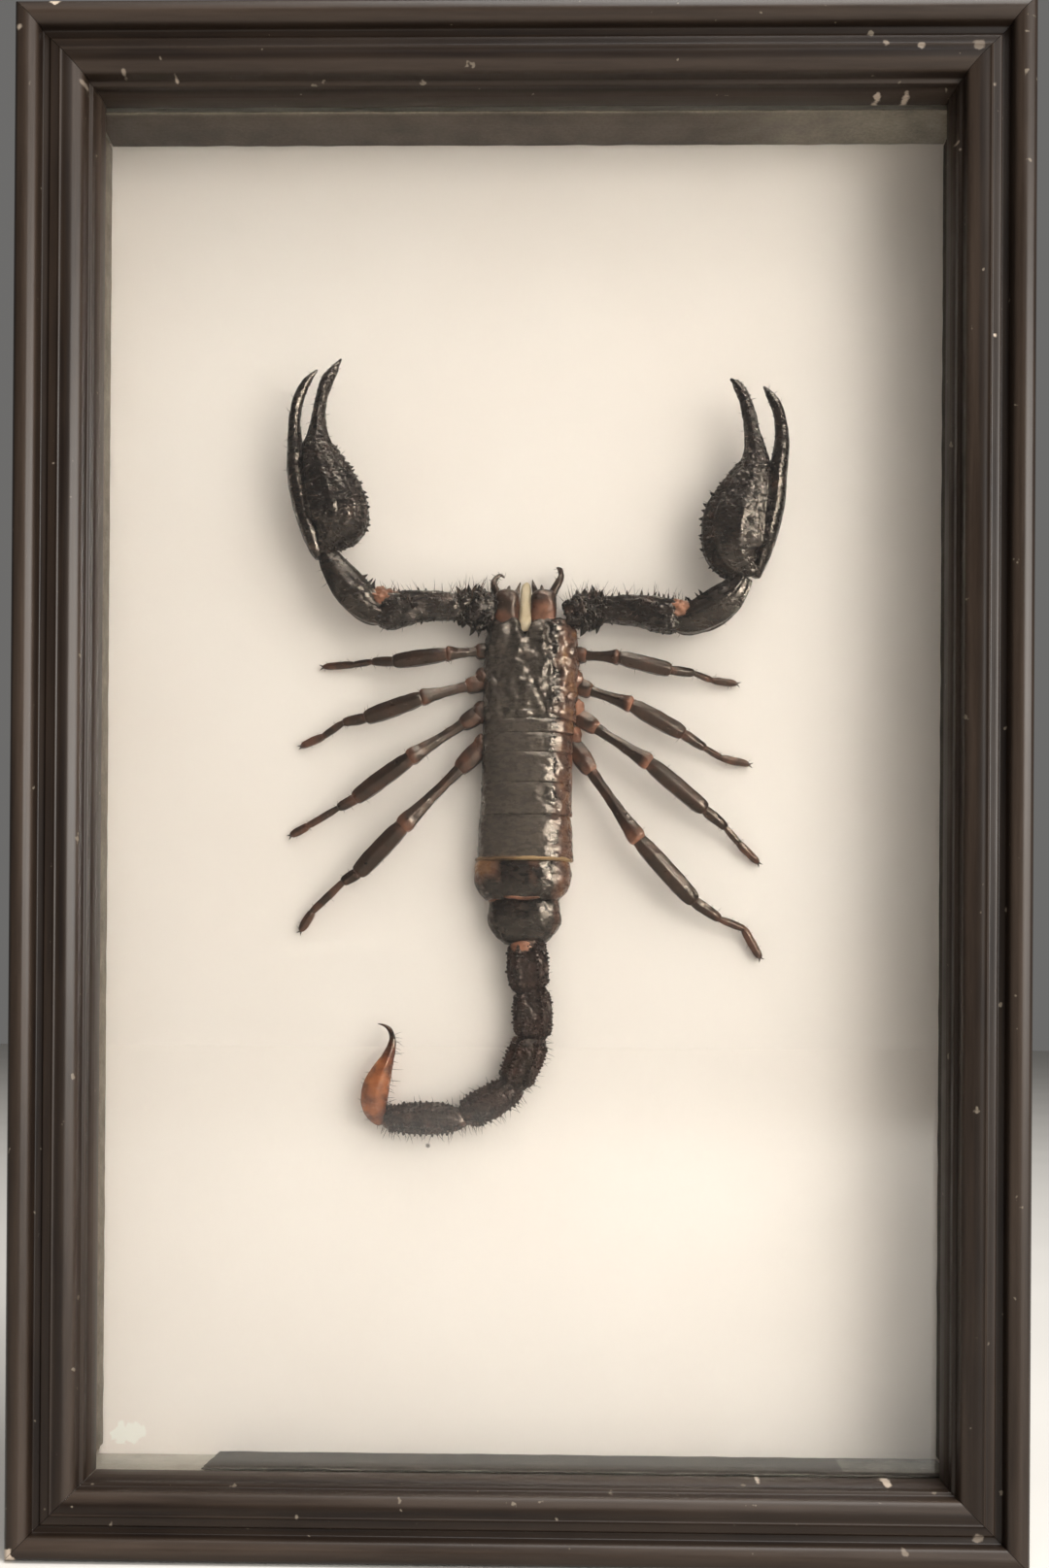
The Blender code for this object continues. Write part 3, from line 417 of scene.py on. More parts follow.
SHELL = make_chitin("chitin_dried_satin", 0.7, 0.05, 0.24, "15100E", "2D201A", "5E4236", "94683F", 0.6)
SHELL_GRAINED = make_chitin("chitin_dried_grained", 0.5, 0.08, 0.24, "191311", "2B201C", "5E4236", "94683F", 0.52)
SHELL_TAIL = make_chitin("chitin_dried_tail", 0.5, 0.1, 0.25, "231613", "422C26", "5E4236", "94683F", 0.38)
SHELL_LEG = make_chitin("chitin_dried_leg", 0.8, 0.04, 0.3, "26170F", "4A2E23", "5E3A2C", "9C6850")
SHELL_STING = make_chitin("chitin_dried_sting", 1.2, 0.03, 0.2, "2A1811", "54301F", "5E3020", "B0683F")
SHELL_SKIN = make_chitin("joint_skin_dried", 1.0, 0.03, 0.4, "3A2A20", "5A4230", "7A5C3E", "AE8E66")
PALE_STRIP = make_chitin("pale_strip_dried", 0.8, 0.02, 0.5, "A08C72", "BFAA8C", "BFAA8C", "CDBA9E", 0.3)
print("materials:", len(bpy.data.materials))

# %% [markdown]
# ### Bristles
# A bristle is a hollow chitin hair, amber brown and a little shiny. It is far too
# thin to show a pattern, so the tone only changes from hair to hair.

# %% Bristles
BRISTLE, tree, shader, where = new_material("bristle_dried")
tone = add_node(tree, "ShaderNodeTexNoise", {"Vector": where, "Scale": per_mm(2), "Detail": 2.0})
inputs = {0: tone, MIX_A: srgb("33211A"), MIX_B: srgb("7A5A44")}
base = add_node(tree, "ShaderNodeMix", inputs, MIX_RESULT, data_type="RGBA")
tree.links.new(base, shader.inputs["Base Color"])
shader.inputs["Roughness"].default_value = 0.45
print("materials:", len(bpy.data.materials))

# %% [markdown]
# ## The pieces that keep their solids
# The glass, the card, the back panel, the foam board spacers, and the metal at the
# back are right as they are. Each gets its material in its own slot.

# %% Materials on the solids
KEPT = {"glass": GLASS, "mount_board": CARD, "back_panel": HARDBOARD}
KEPT.update({"spacer_" + side: FOAM for side in ("top", "bottom", "left", "right")})
KEPT.update({name: STEEL for name in ("hanger", "hanger_nail_left", "hanger_nail_right")})
KEPT.update({"back_tab_%d" % number: STEEL for number in range(1, 7)})
for node_name, material in KEPT.items():
    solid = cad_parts[node_name]
    for material_slot in solid.material_slots:
        material_slot.material = material
    if not solid.material_slots:
        solid.data.materials.append(material)
print("solids that keep their shape:", len(KEPT))

# %% [markdown]
# ## Moulding
# Each rail was run through a moulding cutter and then cut at 45 degrees. The same
# order works here. A flat face with as many corners as the section has points is
# set onto the section's outline, extruded to the rail's length, and bisected at
# both ends. The front of the section is smoothed, because a cutter leaves no
# corners there, and each of its points is given its share of wear and painted
# highlight, which is high on the ridges and on the slopes that face the light.

# %% Section of the moulding
RAIL_WIDTH = 13.0
LIP_BACK = 11.0
REBATE_EDGE = 7.0
RAIL_DEPTH = 32.5
# From the outer edge inwards: (distance in, depth from the front, wear and painted highlight)
MOULDING = [
    (0.0, 3.2, 0.1), (0.3, 1.5, 0.1), (0.8, 0.5, 0.2), (1.4, 0.2, 0.4), (2.2, 0.02, 0.6), (2.7, 0.05, 0.6),
    (3.1, 0.2, 0.7), (4.0, 0.75, 0.6), (4.35, 1.5, 0.1), (4.6, 2.3, 0.0), (5.0, 2.5, 0.0), (5.7, 2.6, 0.0),
    (5.95, 2.3, 0.3), (6.3, 2.22, 0.2), (6.9, 2.2, 0.1), (7.3, 2.17, 0.1), (7.6, 2.0, 0.4), (7.9, 2.15, 0.1),
    (8.6, 2.15, 0.0), (9.3, 2.25, 0.1), (9.9, 2.5, 0.6), (11.1, 3.3, 0.7), (11.4, 4.4, 0.2), (11.6, 5.3, 0.3),
    (12.2, 5.6, 0.4), (12.4, 6.6, 0.1), (12.7, 7.2, 0.4), (13.0, 8.0, 0.6),
]


def smooth(stations, steps):
    """Rows of numbers on a smooth curve through the given ones, steps to each stretch."""
    rows = []
    last = len(stations) - 1
    for i in range(last):
        p0, p1, p2, p3 = (stations[max(0, min(last, k))] for k in (i - 1, i, i + 1, i + 2))
        for step in range(steps):
            t = step / steps
            rows.append(
                [
                    0.5 * (2 * b + (c - a) * t + (2 * a - 5 * b + 4 * c - d) * t**2 + (3 * b - a - 3 * c + d) * t**3)
                    for a, b, c, d in zip(p0, p1, p2, p3)
                ]
            )
    rows.append(list(stations[last]))
    return rows


SECTION = smooth(MOULDING, 4)
SECTION += [[RAIL_WIDTH, LIP_BACK, 0.5], [REBATE_EDGE, LIP_BACK, 0], [REBATE_EDGE, RAIL_DEPTH, 0], [0, RAIL_DEPTH, 0]]
print("points in the section:", len(SECTION))

# %% Four rails


def make_rail(name, length, turn, centre, material):
    """A mitred rail, turned about the depth axis, its outer edge at the centre point."""
    piece = add("moulding_" + name, bpy.ops.mesh.primitive_circle_add, vertices=len(SECTION), fill_type="NGON")
    wear_and_highlight = piece.data.attributes.new("wear_and_highlight", "FLOAT", "POINT")
    for vert, mark, (inwards, back, worn_and_lit) in zip(piece.data.vertices, wear_and_highlight.data, SECTION):
        vert.co = Vector((-length / 2, FRONT + back, inwards)) * MM
        mark.value = worn_and_lit
    bpy.ops.object.mode_set(mode="EDIT")
    bpy.ops.mesh.select_all(action="SELECT")
    bpy.ops.mesh.extrude_region_move(TRANSFORM_OT_translate={"value": (length * MM, 0, 0)})
    for side in (-1, 1):
        bpy.ops.mesh.select_all(action="SELECT")
        end = (side * (length / 2 - 0.05) * MM, 0, 0)
        bpy.ops.mesh.bisect(plane_co=end, plane_no=(side, 0, 1), clear_outer=True, use_fill=True)
    bpy.ops.object.mode_set(mode="OBJECT")
    piece.rotation_euler = (0, radians(turn), 0)
    piece.location = (centre[0] * MM, 0, centre[1] * MM)
    finish_piece(piece, material, "rail_" + name, angle=30)
    print("moulding_" + name, "faces:", len(piece.data.polygons))


make_rail("bottom", WIDTH, 0, (0, 0), WOOD_LEVEL)
make_rail("top", WIDTH, 180, (0, HEIGHT), WOOD_LEVEL)
make_rail("left", HEIGHT, 90, (-WIDTH / 2, HEIGHT / 2), WOOD_UPRIGHT)
make_rail("right", HEIGHT, -90, (WIDTH / 2, HEIGHT / 2), WOOD_UPRIGHT)

# %% [markdown]
# ## Linings
# Four strips of paper line the sides of the box. They aren't quite flat: they
# ripple a little, and their ends are ragged. The bottom one is torn off short. A
# grid is bent point by point, as one would with a soft brush, and then solidified.

# %% Four strips of lining paper
SHEET_THICK = 0.25


def make_lining(side, material, torn, worn_and_lit_rule):
    """A rippled strip in its node's box; torn is how ragged its low end is."""
    node = "lining_" + side
    low, high = (Vector(corner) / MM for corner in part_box(node))
    middle, span = (low + high) / 2, high - low
    upright = span.z > span.x
    piece = add("paper_" + side, bpy.ops.mesh.primitive_grid_add, x_subdivisions=240, y_subdivisions=14, size=1)
    worn_and_lit = piece.data.attributes.new("worn_and_lit", "FLOAT", "POINT")
    for vert, mark in zip(piece.data.vertices, worn_and_lit.data):
        along, back = vert.co.x + 0.5, vert.co.y + 0.5
        coarse = noise.noise(Vector((back * 9, torn, 0)))
        fine = noise.noise(Vector((back * 40, 3, torn)))
        ragged = torn * (0.5 + 0.5 * coarse + 0.35 * fine)
        if side == "bottom":
            ragged += back
        length = span.z if upright else span.x
        run = ragged * (1 - along) + along * length
        ripple = 0.1 * noise.noise(Vector((run * 0.22, back * 2.2, ord(side[0]))))
        depth = low.y + 0.02 + back * (span.y - 0.04)
        if upright:
            vert.co = Vector((middle.x + ripple, depth, low.z + run)) * MM
        else:
            vert.co = Vector((low.x + run, depth, middle.z + ripple)) * MM
        mark.value = worn_and_lit_rule(run, length, back)
    apply_modifier(piece, "SOLIDIFY", thickness=SHEET_THICK * MM, offset=0.0)
    finish_piece(piece, material, node, angle=30)
    print(piece.name, "faces:", len(piece.data.polygons))


def edge_wear(run, length, back):
    """Rubbed within about a millimetre of the front edge."""
    return max(0.0, 0.7 - back * 9)


def top_wear_and_light(run, length, back):
    """Painted lighter over the last third, towards the right, as painted light; rubbed at the front edge."""
    return max(edge_wear(run, length, back), (run - 105) / 45)


def bottom_wear(run, length, back):
    """Bare at the torn end, and rubbed over the last 18 mm at the right."""
    right_end = 0.75 if run > length - 18 and back > 0.2 else 0
    return max(edge_wear(run, length, back), 1 - run / 0.9, right_end)


def left_wear_and_light(run, length, back):
    """Rubbed all over, and painted lighter all over as painted light on this strip, which faces the light."""
    return 0.4 + 0.4 * edge_wear(run, length, back)


# The right end of the top strip and the whole left strip are painted lighter: painted light, on top of rubbing
make_lining("top", LINING_BROWN, 0.2, top_wear_and_light)
make_lining("bottom", LINING, 0.9, bottom_wear)
make_lining("left", LINING_RUBBED_AND_LIT, 1.3, left_wear_and_light)
make_lining("right", LINING, 0.2, edge_wear)

# %% [markdown]
# ## The scorpion: growing a limb
# Every part of the animal is a tube that swells and narrows along a path. By hand
# one extrudes a ring again and again, and moves, turns and scales each new ring.
# The helper does just that: it extrudes, and carries the new ring by one matrix to
# its station. A station holds where the path runs, the half width and half
# thickness there, and how warm the colour is. The ring's outline can be an oval,
# a rounded square, or one with ridges, which then run along the limb.

# %% Outlines and the growing helper


def rim(angle, power=0.9, belly=1.0):
    """Point of a rounded square of unit half width, at an angle round it."""
    c, s = cos(angle), sin(angle)
    across = abs(c) ** power * (1 if c >= 0 else -1)
    upward = abs(s) ** power * (1 if s >= 0 else -belly)
    return across, upward


def outline(sides, power=0.9, ridges=0, ridge=0.0, turn=0.0, belly=1.0):
    """Points round a ring; ridges stand out by their share of the radius."""
    points = []
    for k in range(sides):
        angle = 2 * pi * k / sides
        swell = 1 + ridge * max(0.0, cos(ridges * (angle - turn))) ** 4 if ridges else 1.0
        across, upward = rim(angle, power, belly)
        points.append((across * swell, upward * swell))
    return points


def station_matrix(stations, i):
    """Carries a unit ring to its station: across the path, upwards, and along it."""
    here = place(*stations[i][:3])
    before = place(*stations[max(i - 1, 0)][:3])
    after = place(*stations[min(i + 1, len(stations) - 1)][:3])
    heading = (after - before).normalized()
    side = heading.cross(TOWARDS_VIEWER).normalized()
    top = side.cross(heading).normalized()
    half_width, half_thick = (max(value, 0.03) * MM for value in stations[i][3:5])
    columns = (side * half_width, top * half_thick, heading * MM, here)
    rows = [[column[row] for column in columns] for row in range(3)] + [[0, 0, 0, 1]]
    return Matrix(rows)


def grow(name, stations, ring, steps=3, warm=0.0):
    """Extrude a ring from station to station; a sixth number is the warmth there."""
    rows = [list(row) + [warm] * (6 - len(row)) for row in stations]
    rows = smooth(rows, steps)
    piece = add(name, bpy.ops.mesh.primitive_circle_add, vertices=len(ring), fill_type="NGON")
    warmth = piece.data.attributes.new("warm", "FLOAT", "POINT")
    now = station_matrix(rows, 0)
    for vert, mark, (across, upward) in zip(piece.data.vertices, warmth.data, ring):
        vert.co = now @ Vector((across, upward, 0))
        mark.value = rows[0][5]
    bpy.ops.object.mode_set(mode="EDIT")
    bpy.ops.mesh.select_all(action="SELECT")
    for i in range(1, len(rows)):
        bpy.ops.mesh.extrude_region()
        following = station_matrix(rows, i)
        carry = following @ now.inverted()
        shape = bmesh.from_edit_mesh(piece.data)
        layer = shape.verts.layers.float["warm"]
        for vert in shape.verts:
            if vert.select:
                vert.co = carry @ vert.co
                vert[layer] = max(0.0, min(1.0, rows[i][5]))
        now = following
    bpy.ops.object.mode_set(mode="OBJECT")
    return piece


print("points round a plain ring:", len(outline(24)))

# %% [markdown]
# Shell is never smooth. After a piece is rounded by subdivision, a displacement
# lifts its points along their normals: rounded cells for grains, clouds for the
# dents and creases of drying.

# %% Rounding, graining and hanging a piece of shell
GRAIN_PATTERNS = {}


def roughen(piece, kind, size, depth):
    """Displace the surface by cells or clouds of a size, both in millimetres."""
    key = (kind, size)
    if key not in GRAIN_PATTERNS:
        made = bpy.data.textures.new("%s_%s" % (kind.lower(), size), kind)
        made.noise_scale = size * MM
        GRAIN_PATTERNS[key] = made
    strength = (-depth if kind == "VORONOI" else depth) * MM
    settings = {"texture": GRAIN_PATTERNS[key], "strength": strength, "mid_level": 0.5, "texture_coords": "LOCAL"}
    face_outwards(piece)
    apply_modifier(piece, "DISPLACE", **settings)


def chitin(piece, material, levels=1, grains=None, dents=None, angle=60):
    """Round a grown piece, roughen it, and hang it on the scorpion's node."""
    if levels:
        apply_modifier(piece, "SUBSURF", levels=levels, render_levels=levels)
    if dents:
        roughen(piece, "CLOUDS", *dents)
    if grains:
        roughen(piece, "VORONOI", *grains)
    return finish_piece(piece, material, "scorpion", angle)


print("grain patterns so far:", len(GRAIN_PATTERNS))

# %% [markdown]
# ## Trunk
# The shield over the head and seven plates over the back overlap like roof tiles:
# each is a little wider at its rear edge, which lies over the front of the next.
# Under them lies the belly, which shows at the sides as thinner, redder skin. The
# sixth plate is a barrel that starts to narrow, and the seventh tapers to the tail.

# %% Belly
FLANK = 3.3
TRUNK_RING = outline(48, 0.82, belly=0.55)


def trunk_station(z, centre_x, half_width, back_height, warm=0.0):
    return (centre_x, z, FLANK, half_width, back_height - FLANK, warm)


BELLY = [
    trunk_station(155.8, 1.6, 6.2, 5.8, 0.3), trunk_station(152.0, 1.6, 7.9, 6.8, 0.4),
    trunk_station(140.0, 1.2, 7.9, 7.4, 0.5), trunk_station(126.0, 0.8, 7.9, 7.8, 0.5),
    trunk_station(114.0, 0.4, 7.0, 7.0, 0.45), trunk_station(104.5, 0.6, 3.4, 5.6, 0.6),
]
belly = chitin(grow("belly", BELLY, TRUNK_RING, steps=4), SHELL_LEG, dents=(2.0, 0.5))
print("belly faces:", len(belly.data.polygons))

# %% Seven plates of the back
# (z of the front edge, centre x, half width at front, middle and rear, height), then
# for the middle and the rear edge, the share of the height that is left there
BACK_PLATES = [
    (143.3, 1.2, 8.1, 8.15, 8.15, 8.3, 1.0, 1.0), (140.8, 1.0, 8.05, 8.1, 8.1, 8.5, 1.0, 1.0),
    (137.4, 0.9, 7.95, 7.95, 7.95, 8.7, 1.0, 1.0), (132.1, 0.85, 7.9, 8.0, 8.15, 8.85, 1.0, 1.0),
    (126.5, 0.75, 8.1, 8.35, 8.5, 8.8, 1.0, 1.0), (118.7, 0.3, 8.5, 8.6, 6.6, 8.3, 1.0, 0.93),
    (111.8, 0.65, 6.3, 6.45, 3.7, 7.3, 0.97, 0.76),
]
# The half width that the rear shoulder of a rounded plate keeps; the others taper evenly
SHOULDERS = {6: 7.65, 7: 4.92915}
TRUNK_END = 104.0


def back_dust_and_sheen(x, z, height):
    """Grey dust and painted sheen on the top of the back, gone on the right flank and past the fifth plate."""
    level = max(0.0, min(1.0, (5.6 - x) / 2.2)) * max(0.0, min(1.0, (height - 3.0) / 2.5))
    amount = 0.6 if z > 143.2 else 0.8
    return amount * level * max(0.0, min(1.0, (z - 118.2) / 0.8))


def back_warmth(x, z, height):
    """Reddish on the right flank, amber at the left front of the sixth plate."""
    right = 0.52 * max(0.0, min(1.0, (x - 4.8) / 2.5))
    amber = 0.8 * max(0.0, min(1.0, (-2.6 - x) / 3)) * max(0.0, min(1.0, (118.8 - z) / 0.6, (z - 113.8) / 2.4))
    centre = 0.3 * max(0.0, 1 - abs(x - 2) / 3) * max(0.0, min(1.0, (118.8 - z) / 0.6, (z - 112.5) / 2))
    return max(right, amber, centre)


for number, row in enumerate(BACK_PLATES, start=1):
    front, centre_x, wide_front, wide_middle, wide_rear, top, mid_top, sink = row
    rear = TRUNK_END if number == len(BACK_PLATES) else BACK_PLATES[number][0]
    length = front - rear
    shoulder = SHOULDERS.get(number, wide_middle * 0.3 + wide_rear * 0.7)
    plate = [
        trunk_station(front + 0.6, centre_x, wide_front * 0.9, top * 0.86),
        trunk_station(front + 0.05, centre_x, wide_front * 0.965, top * 0.95),
        trunk_station(front - length * 0.2, centre_x, (wide_front + wide_middle) / 2, top * 0.99),
        trunk_station(front - length * 0.55, centre_x, wide_middle, top * mid_top),
        trunk_station(front - length * 0.85, centre_x, shoulder, top * (mid_top + sink) / 2),
        trunk_station(rear + 0.15, centre_x, wide_rear * 1.005, top * sink),
        trunk_station(rear - 0.12, centre_x, wide_rear * 0.985, top * sink * 0.975),
        trunk_station(rear, centre_x, wide_rear * 0.9, top * sink * 0.88),
    ]
    piece = grow("back_plate_%d" % number, plate, TRUNK_RING, steps=3)
    apply_modifier(piece, "SUBSURF", levels=1, render_levels=1)
    paint(piece, "dust_and_sheen", back_dust_and_sheen)
    paint(piece, "warm", back_warmth)
    chitin(piece, SHELL, levels=0, dents=(1.7, 0.5), grains=(0.6, 0.14) if number == 7 else None)
print("plates:", len(BACK_PLATES))

# %% [markdown]
# Between the hind plates the soft skin shows as thin lines. The one behind the
# fifth plate runs right across and is pale tan, the next is a short orange dash,
# and a reddish patch lies where the tail begins. A pale strip lies between the
# jaws. Each is a small grown roll.

# %% Lines of skin between the plates and the jaws
SKIN_LINES = {
    "skin_line_tan": (SHELL_SKIN, outline(48, 0.82, belly=0.55), [
        trunk_station(119.2, 0.6, 8.3, 8.4, 0.8), trunk_station(119.0, 0.6, 8.66, 8.9, 1.0),
        trunk_station(118.6, 0.6, 8.7, 8.9, 1.0), trunk_station(118.4, 0.6, 8.3, 8.2, 0.8)]),
    "skin_line_orange": (SHELL_LEG, outline(16, 0.9), [
        (-3.0, 112.1, 7.4, 0.1, 0.1, 0.4), (-2.2, 112.0, 7.55, 0.26, 0.26, 0.6), (0.4, 111.8, 7.8, 0.3, 0.3, 0.75),
        (2.4, 111.9, 7.8, 0.26, 0.26, 0.6), (3.4, 112.0, 7.6, 0.1, 0.1, 0.4)]),
    "skin_fold_tail": (SHELL_LEG, outline(24, 0.9), [
        (-1.5, 103.2, 4.8, 0.4, 0.4, 0.4), (-0.9, 103.3, 5.2, 1.0, 0.8, 0.75), (0.7, 103.3, 5.6, 1.2, 0.9, 0.95),
        (2.0, 103.3, 5.2, 1.0, 0.8, 0.75), (2.7, 103.2, 4.8, 0.4, 0.4, 0.4)]),
    "pale_strip_between_jaws": (PALE_STRIP, outline(20, 0.85), [
        (0.5, 159.1, 4.8, 0.6, 0.5, 0.9), (0.5, 159.6, 4.9, 1.05, 0.8, 0.9), (0.5, 161.5, 4.6, 1.1, 0.8, 0.6),
        (0.55, 165.0, 4.0, 1.0, 0.7, 0.9), (0.65, 167.2, 3.2, 0.8, 0.6, 0.8), (0.7, 168.0, 2.6, 0.3, 0.3, 0.8)]),
}
for name, (material, ring, stations) in SKIN_LINES.items():
    piece = grow(name, stations, ring, steps=4)
    if material == SHELL_SKIN:
        paint(piece, "warm", lambda x, z, height: 0.35 + 0.5 * max(0.0, min(1.0, (x + 3) / 4)))
    chitin(piece, material, dents=(1.1, 0.2))
print("skin lines:", len(SKIN_LINES))

# %% [markdown]
# ## Head shield
# One broad plate with rounded front corners and a notch between the jaws. It is
# grown like the rest, and then creased: a groove down the middle that forks like a
# Y, low ridges beside the eyes, and the wavy creases that drying has left.

# %% Head shield
SHIELD = [
    trunk_station(161.4, 1.6, 6.2, 5.0), trunk_station(160.9, 1.6, 7.4, 6.0), trunk_station(159.6, 1.6, 7.9, 6.8),
    trunk_station(156.3, 1.6, 8.15, 7.5), trunk_station(152.5, 1.6, 8.3, 7.8), trunk_station(148.5, 1.5, 8.3, 8.1),
    trunk_station(145.3, 1.4, 8.3, 8.3), trunk_station(143.5, 1.3, 8.15, 8.1), trunk_station(143.1, 1.3, 7.6, 7.4),
]
head_shield = grow("head_shield", SHIELD, outline(64, 0.82, belly=0.55), steps=6)
apply_modifier(head_shield, "SUBSURF", levels=1, render_levels=1)


def furrow(piece, path, width, depth):
    """Press a groove (or, with a negative depth, raise a ridge) along a path of (x, z)."""
    points = [Vector(point) for point in path]
    for vert in piece.data.vertices:
        spot = Vector((vert.co.x / MM, vert.co.z / MM))
        if BOARD - vert.co.y / MM < FLANK + 1:
            continue
        near = width
        for start, end in zip(points, points[1:]):
            run = end - start
            share = max(0.0, min(1.0, (spot - start).dot(run) / run.length_squared))
            near = min(near, (spot - start - run * share).length)
        if near < width:
            vert.co.y += depth * MM * (0.5 + 0.5 * cos(pi * near / width))


print("shield points:", len(head_shield.data.vertices))

# %% Creases of the head shield
NOTCH_X, NOTCH_HALF, NOTCH_DEEP = 0.5, 1.7, 3.0
CREASES = [
    ([(1.2, 160), (1.3, 152.4)], 0.8, 0.4), ([(1.1, 151.7), (-0.4, 147.5), (-0.9, 144)], 0.7, 0.26),
    ([(1.4, 151.7), (3.2, 147.2), (4.2, 144)], 0.7, 0.26), ([(-2.0, 160), (-2.6, 155), (-4.2, 150)], 1.0, 0.35),
    ([(4.6, 160), (5.2, 155), (6.8, 150)], 1.0, 0.35), ([(1.3, 154.4), (1.3, 152.8)], 1.2, -0.4),
    ([(3.2, 159.5), (3.9, 157.5), (3.4, 155.5), (4.1, 153.5), (3.6, 151)], 0.7, -0.4),
    ([(-0.6, 158.5), (-0.2, 156.5), (-0.7, 154.5)], 0.6, -0.35), ([(0.3, 149.5), (0.9, 147.5),
      (0.5, 145.5)], 0.5, -0.3),
    ([(2.4, 150.4), (2.9, 148.8), (3.9, 147.0)], 0.45, -0.35), ([(4.8, 149.5), (6.2, 151.2),
      (7.2, 153.5)], 0.6, 0.3),
    ([(-2.2, 146.5), (-4.2, 149.2), (-5.6, 152.0)], 0.7, 0.25), ([(-3.5, 145.2), (-1.2, 144.6),
      (2.0, 145.0)], 0.5, 0.25),
]
for path, width, depth in CREASES:
    furrow(head_shield, path, width, depth)
for vert in head_shield.data.vertices:
    x, z = vert.co.x / MM - NOTCH_X, vert.co.z / MM
    if z > 157.5 and abs(x) < NOTCH_HALF:
        vert.co.z -= NOTCH_DEEP * MM * (0.5 + 0.5 * cos(pi * x / NOTCH_HALF)) * min(1.0, (z - 157.5) / 2.5)
paint(head_shield, "dust_and_sheen", back_dust_and_sheen)
paint(head_shield, "warm", back_warmth)
roughen(head_shield, "CLOUDS", 2.4, 0.8)
chitin(head_shield, SHELL, levels=0, dents=(1.2, 0.4))
print("creases:", len(CREASES))

# %% [markdown]
# ## Tail and sting
# Five segments, each a barrel with lengthwise keels and rough grains, set close to
# one another. The sting is a thin-walled orange bulb that runs out into a dark hook.

# %% Tail segments
TAIL_SEGMENTS = [
    [(1.1, 104.6, 3.3, 2.7, 2.1, 0.5), (1.2, 103.9, 3.4, 2.9, 2.6, 0.2), (1.25, 102.8, 3.4, 3.3, 2.9),
     (1.3, 99.9, 3.5, 3.6, 3.1),
     (1.5, 97.3, 3.5, 3.35, 3.0), (1.6, 96.3, 3.5, 2.8, 2.6), (1.8, 95.5, 3.4, 2.1, 1.9)],
    [(1.8, 96.2, 3.4, 2.2, 1.9, 0.3), (2.0, 95.3, 3.4, 2.8, 2.6), (2.1, 94.0, 3.4, 3.15, 2.8),
     (2.2, 91.6, 3.4, 3.35, 2.9),
     (2.3, 89.0, 3.4, 3.2, 2.9), (2.3, 87.9, 3.4, 2.7, 2.5), (2.3, 87.1, 3.3, 2.0, 1.8)],
    [(2.3, 87.9, 3.3, 2.0, 1.7, 0.3), (2.0, 86.8, 3.3, 2.7, 2.4), (1.5, 85.4, 3.3, 3.1, 2.7),
     (0.6, 83.2, 3.3, 3.2, 2.8),
     (-0.3, 80.8, 3.3, 3.0, 2.8), (-0.7, 79.7, 3.3, 2.6, 2.5), (-1.1, 78.8, 3.2, 1.8, 1.7)],
    [(-0.5, 79.2, 3.2, 1.9, 1.7, 0.3), (-1.8, 78.1, 3.2, 2.5, 2.3), (-4.8, 76.2, 3.2, 2.9, 2.6),
     (-7.9, 74.6, 3.2, 2.7, 2.5), (-9.2, 73.8, 3.2, 2.2, 2.1), (-10.2, 73.3, 3.2, 1.5, 1.5)],
    [(-9.6, 73.4, 3.2, 1.5, 1.4, 0.3), (-11.2, 73.0, 3.2, 2.1, 1.9), (-14.4, 73.0, 3.2, 2.7, 2.4),
     (-18.4, 73.0, 3.2, 2.7, 2.5), (-22.0, 73.0, 3.2, 2.25, 2.1), (-23.4, 72.9, 3.2, 1.7, 1.6, 0.2),
     (-24.1, 72.9, 3.2, 1.2, 1.3, 0.5)],
]
TAIL_RING = outline(48, 0.82, ridges=8, ridge=0.12, turn=pi / 8)
for number, stations in enumerate(TAIL_SEGMENTS, start=1):
    piece = grow("tail_segment_%d" % number, stations, TAIL_RING, steps=5)
    apply_modifier(piece, "SUBSURF", levels=1, render_levels=1)
    paint(piece, "dust_and_sheen", lambda x, z, height: 0.05 * max(0.0, min(1.0, (height - 4.2) / 1.5)))
    chitin(piece, SHELL_TAIL, levels=0, dents=(1.5, 0.5), grains=(0.7, 0.25))
print("tail segments:", len(TAIL_SEGMENTS))

# %% Sting
STING = [
    (-23.6, 72.6, 3.2, 0.94, 1.0, 0.4), (-24.1, 72.9, 3.2, 1.35, 1.3, 0.45), (-24.8, 73.4, 3.3, 1.8, 1.6, 0.6),
    (-25.7, 75.5, 3.6, 2.3, 2.1, 0.74), (-25.4, 78.4, 3.8, 2.35, 2.2, 0.8), (-24.5, 81.0, 3.9, 1.9, 1.85, 0.76),
    (-23.4, 83.5, 4.0, 1.2, 1.25, 0.65), (-22.7, 85.6, 4.0, 0.8, 0.8, 0.35), (-22.5, 87.2, 3.9, 0.55, 0.55, 0.12),
    (-23.1, 88.7, 3.7, 0.36, 0.36, 0.0), (-24.0, 89.4, 3.6, 0.24, 0.24, 0.0), (-25.2, 89.7, 3.5, 0.07, 0.07, 0.0),
]
sting = grow("sting", STING, outline(36, 0.95, ridges=9, ridge=0.05), steps=5)
apply_modifier(sting, "SUBSURF", levels=1, render_levels=1)
chitin(sting, SHELL_STING, levels=0, dents=(1.4, 0.22))
print("sting points:", len(sting.data.vertices))

# %% [markdown]
# ## Pincer arms
# Each arm has a short jagged first piece, a square upper arm set with beads and a
# row of teeth, a smooth bent forearm with a keel, and the swollen hand, which runs
# out into the fixed finger. The moving finger is hinged along the hand's outer
# side. Orange skin shows at the elbow, as a soft roll between the two shells.

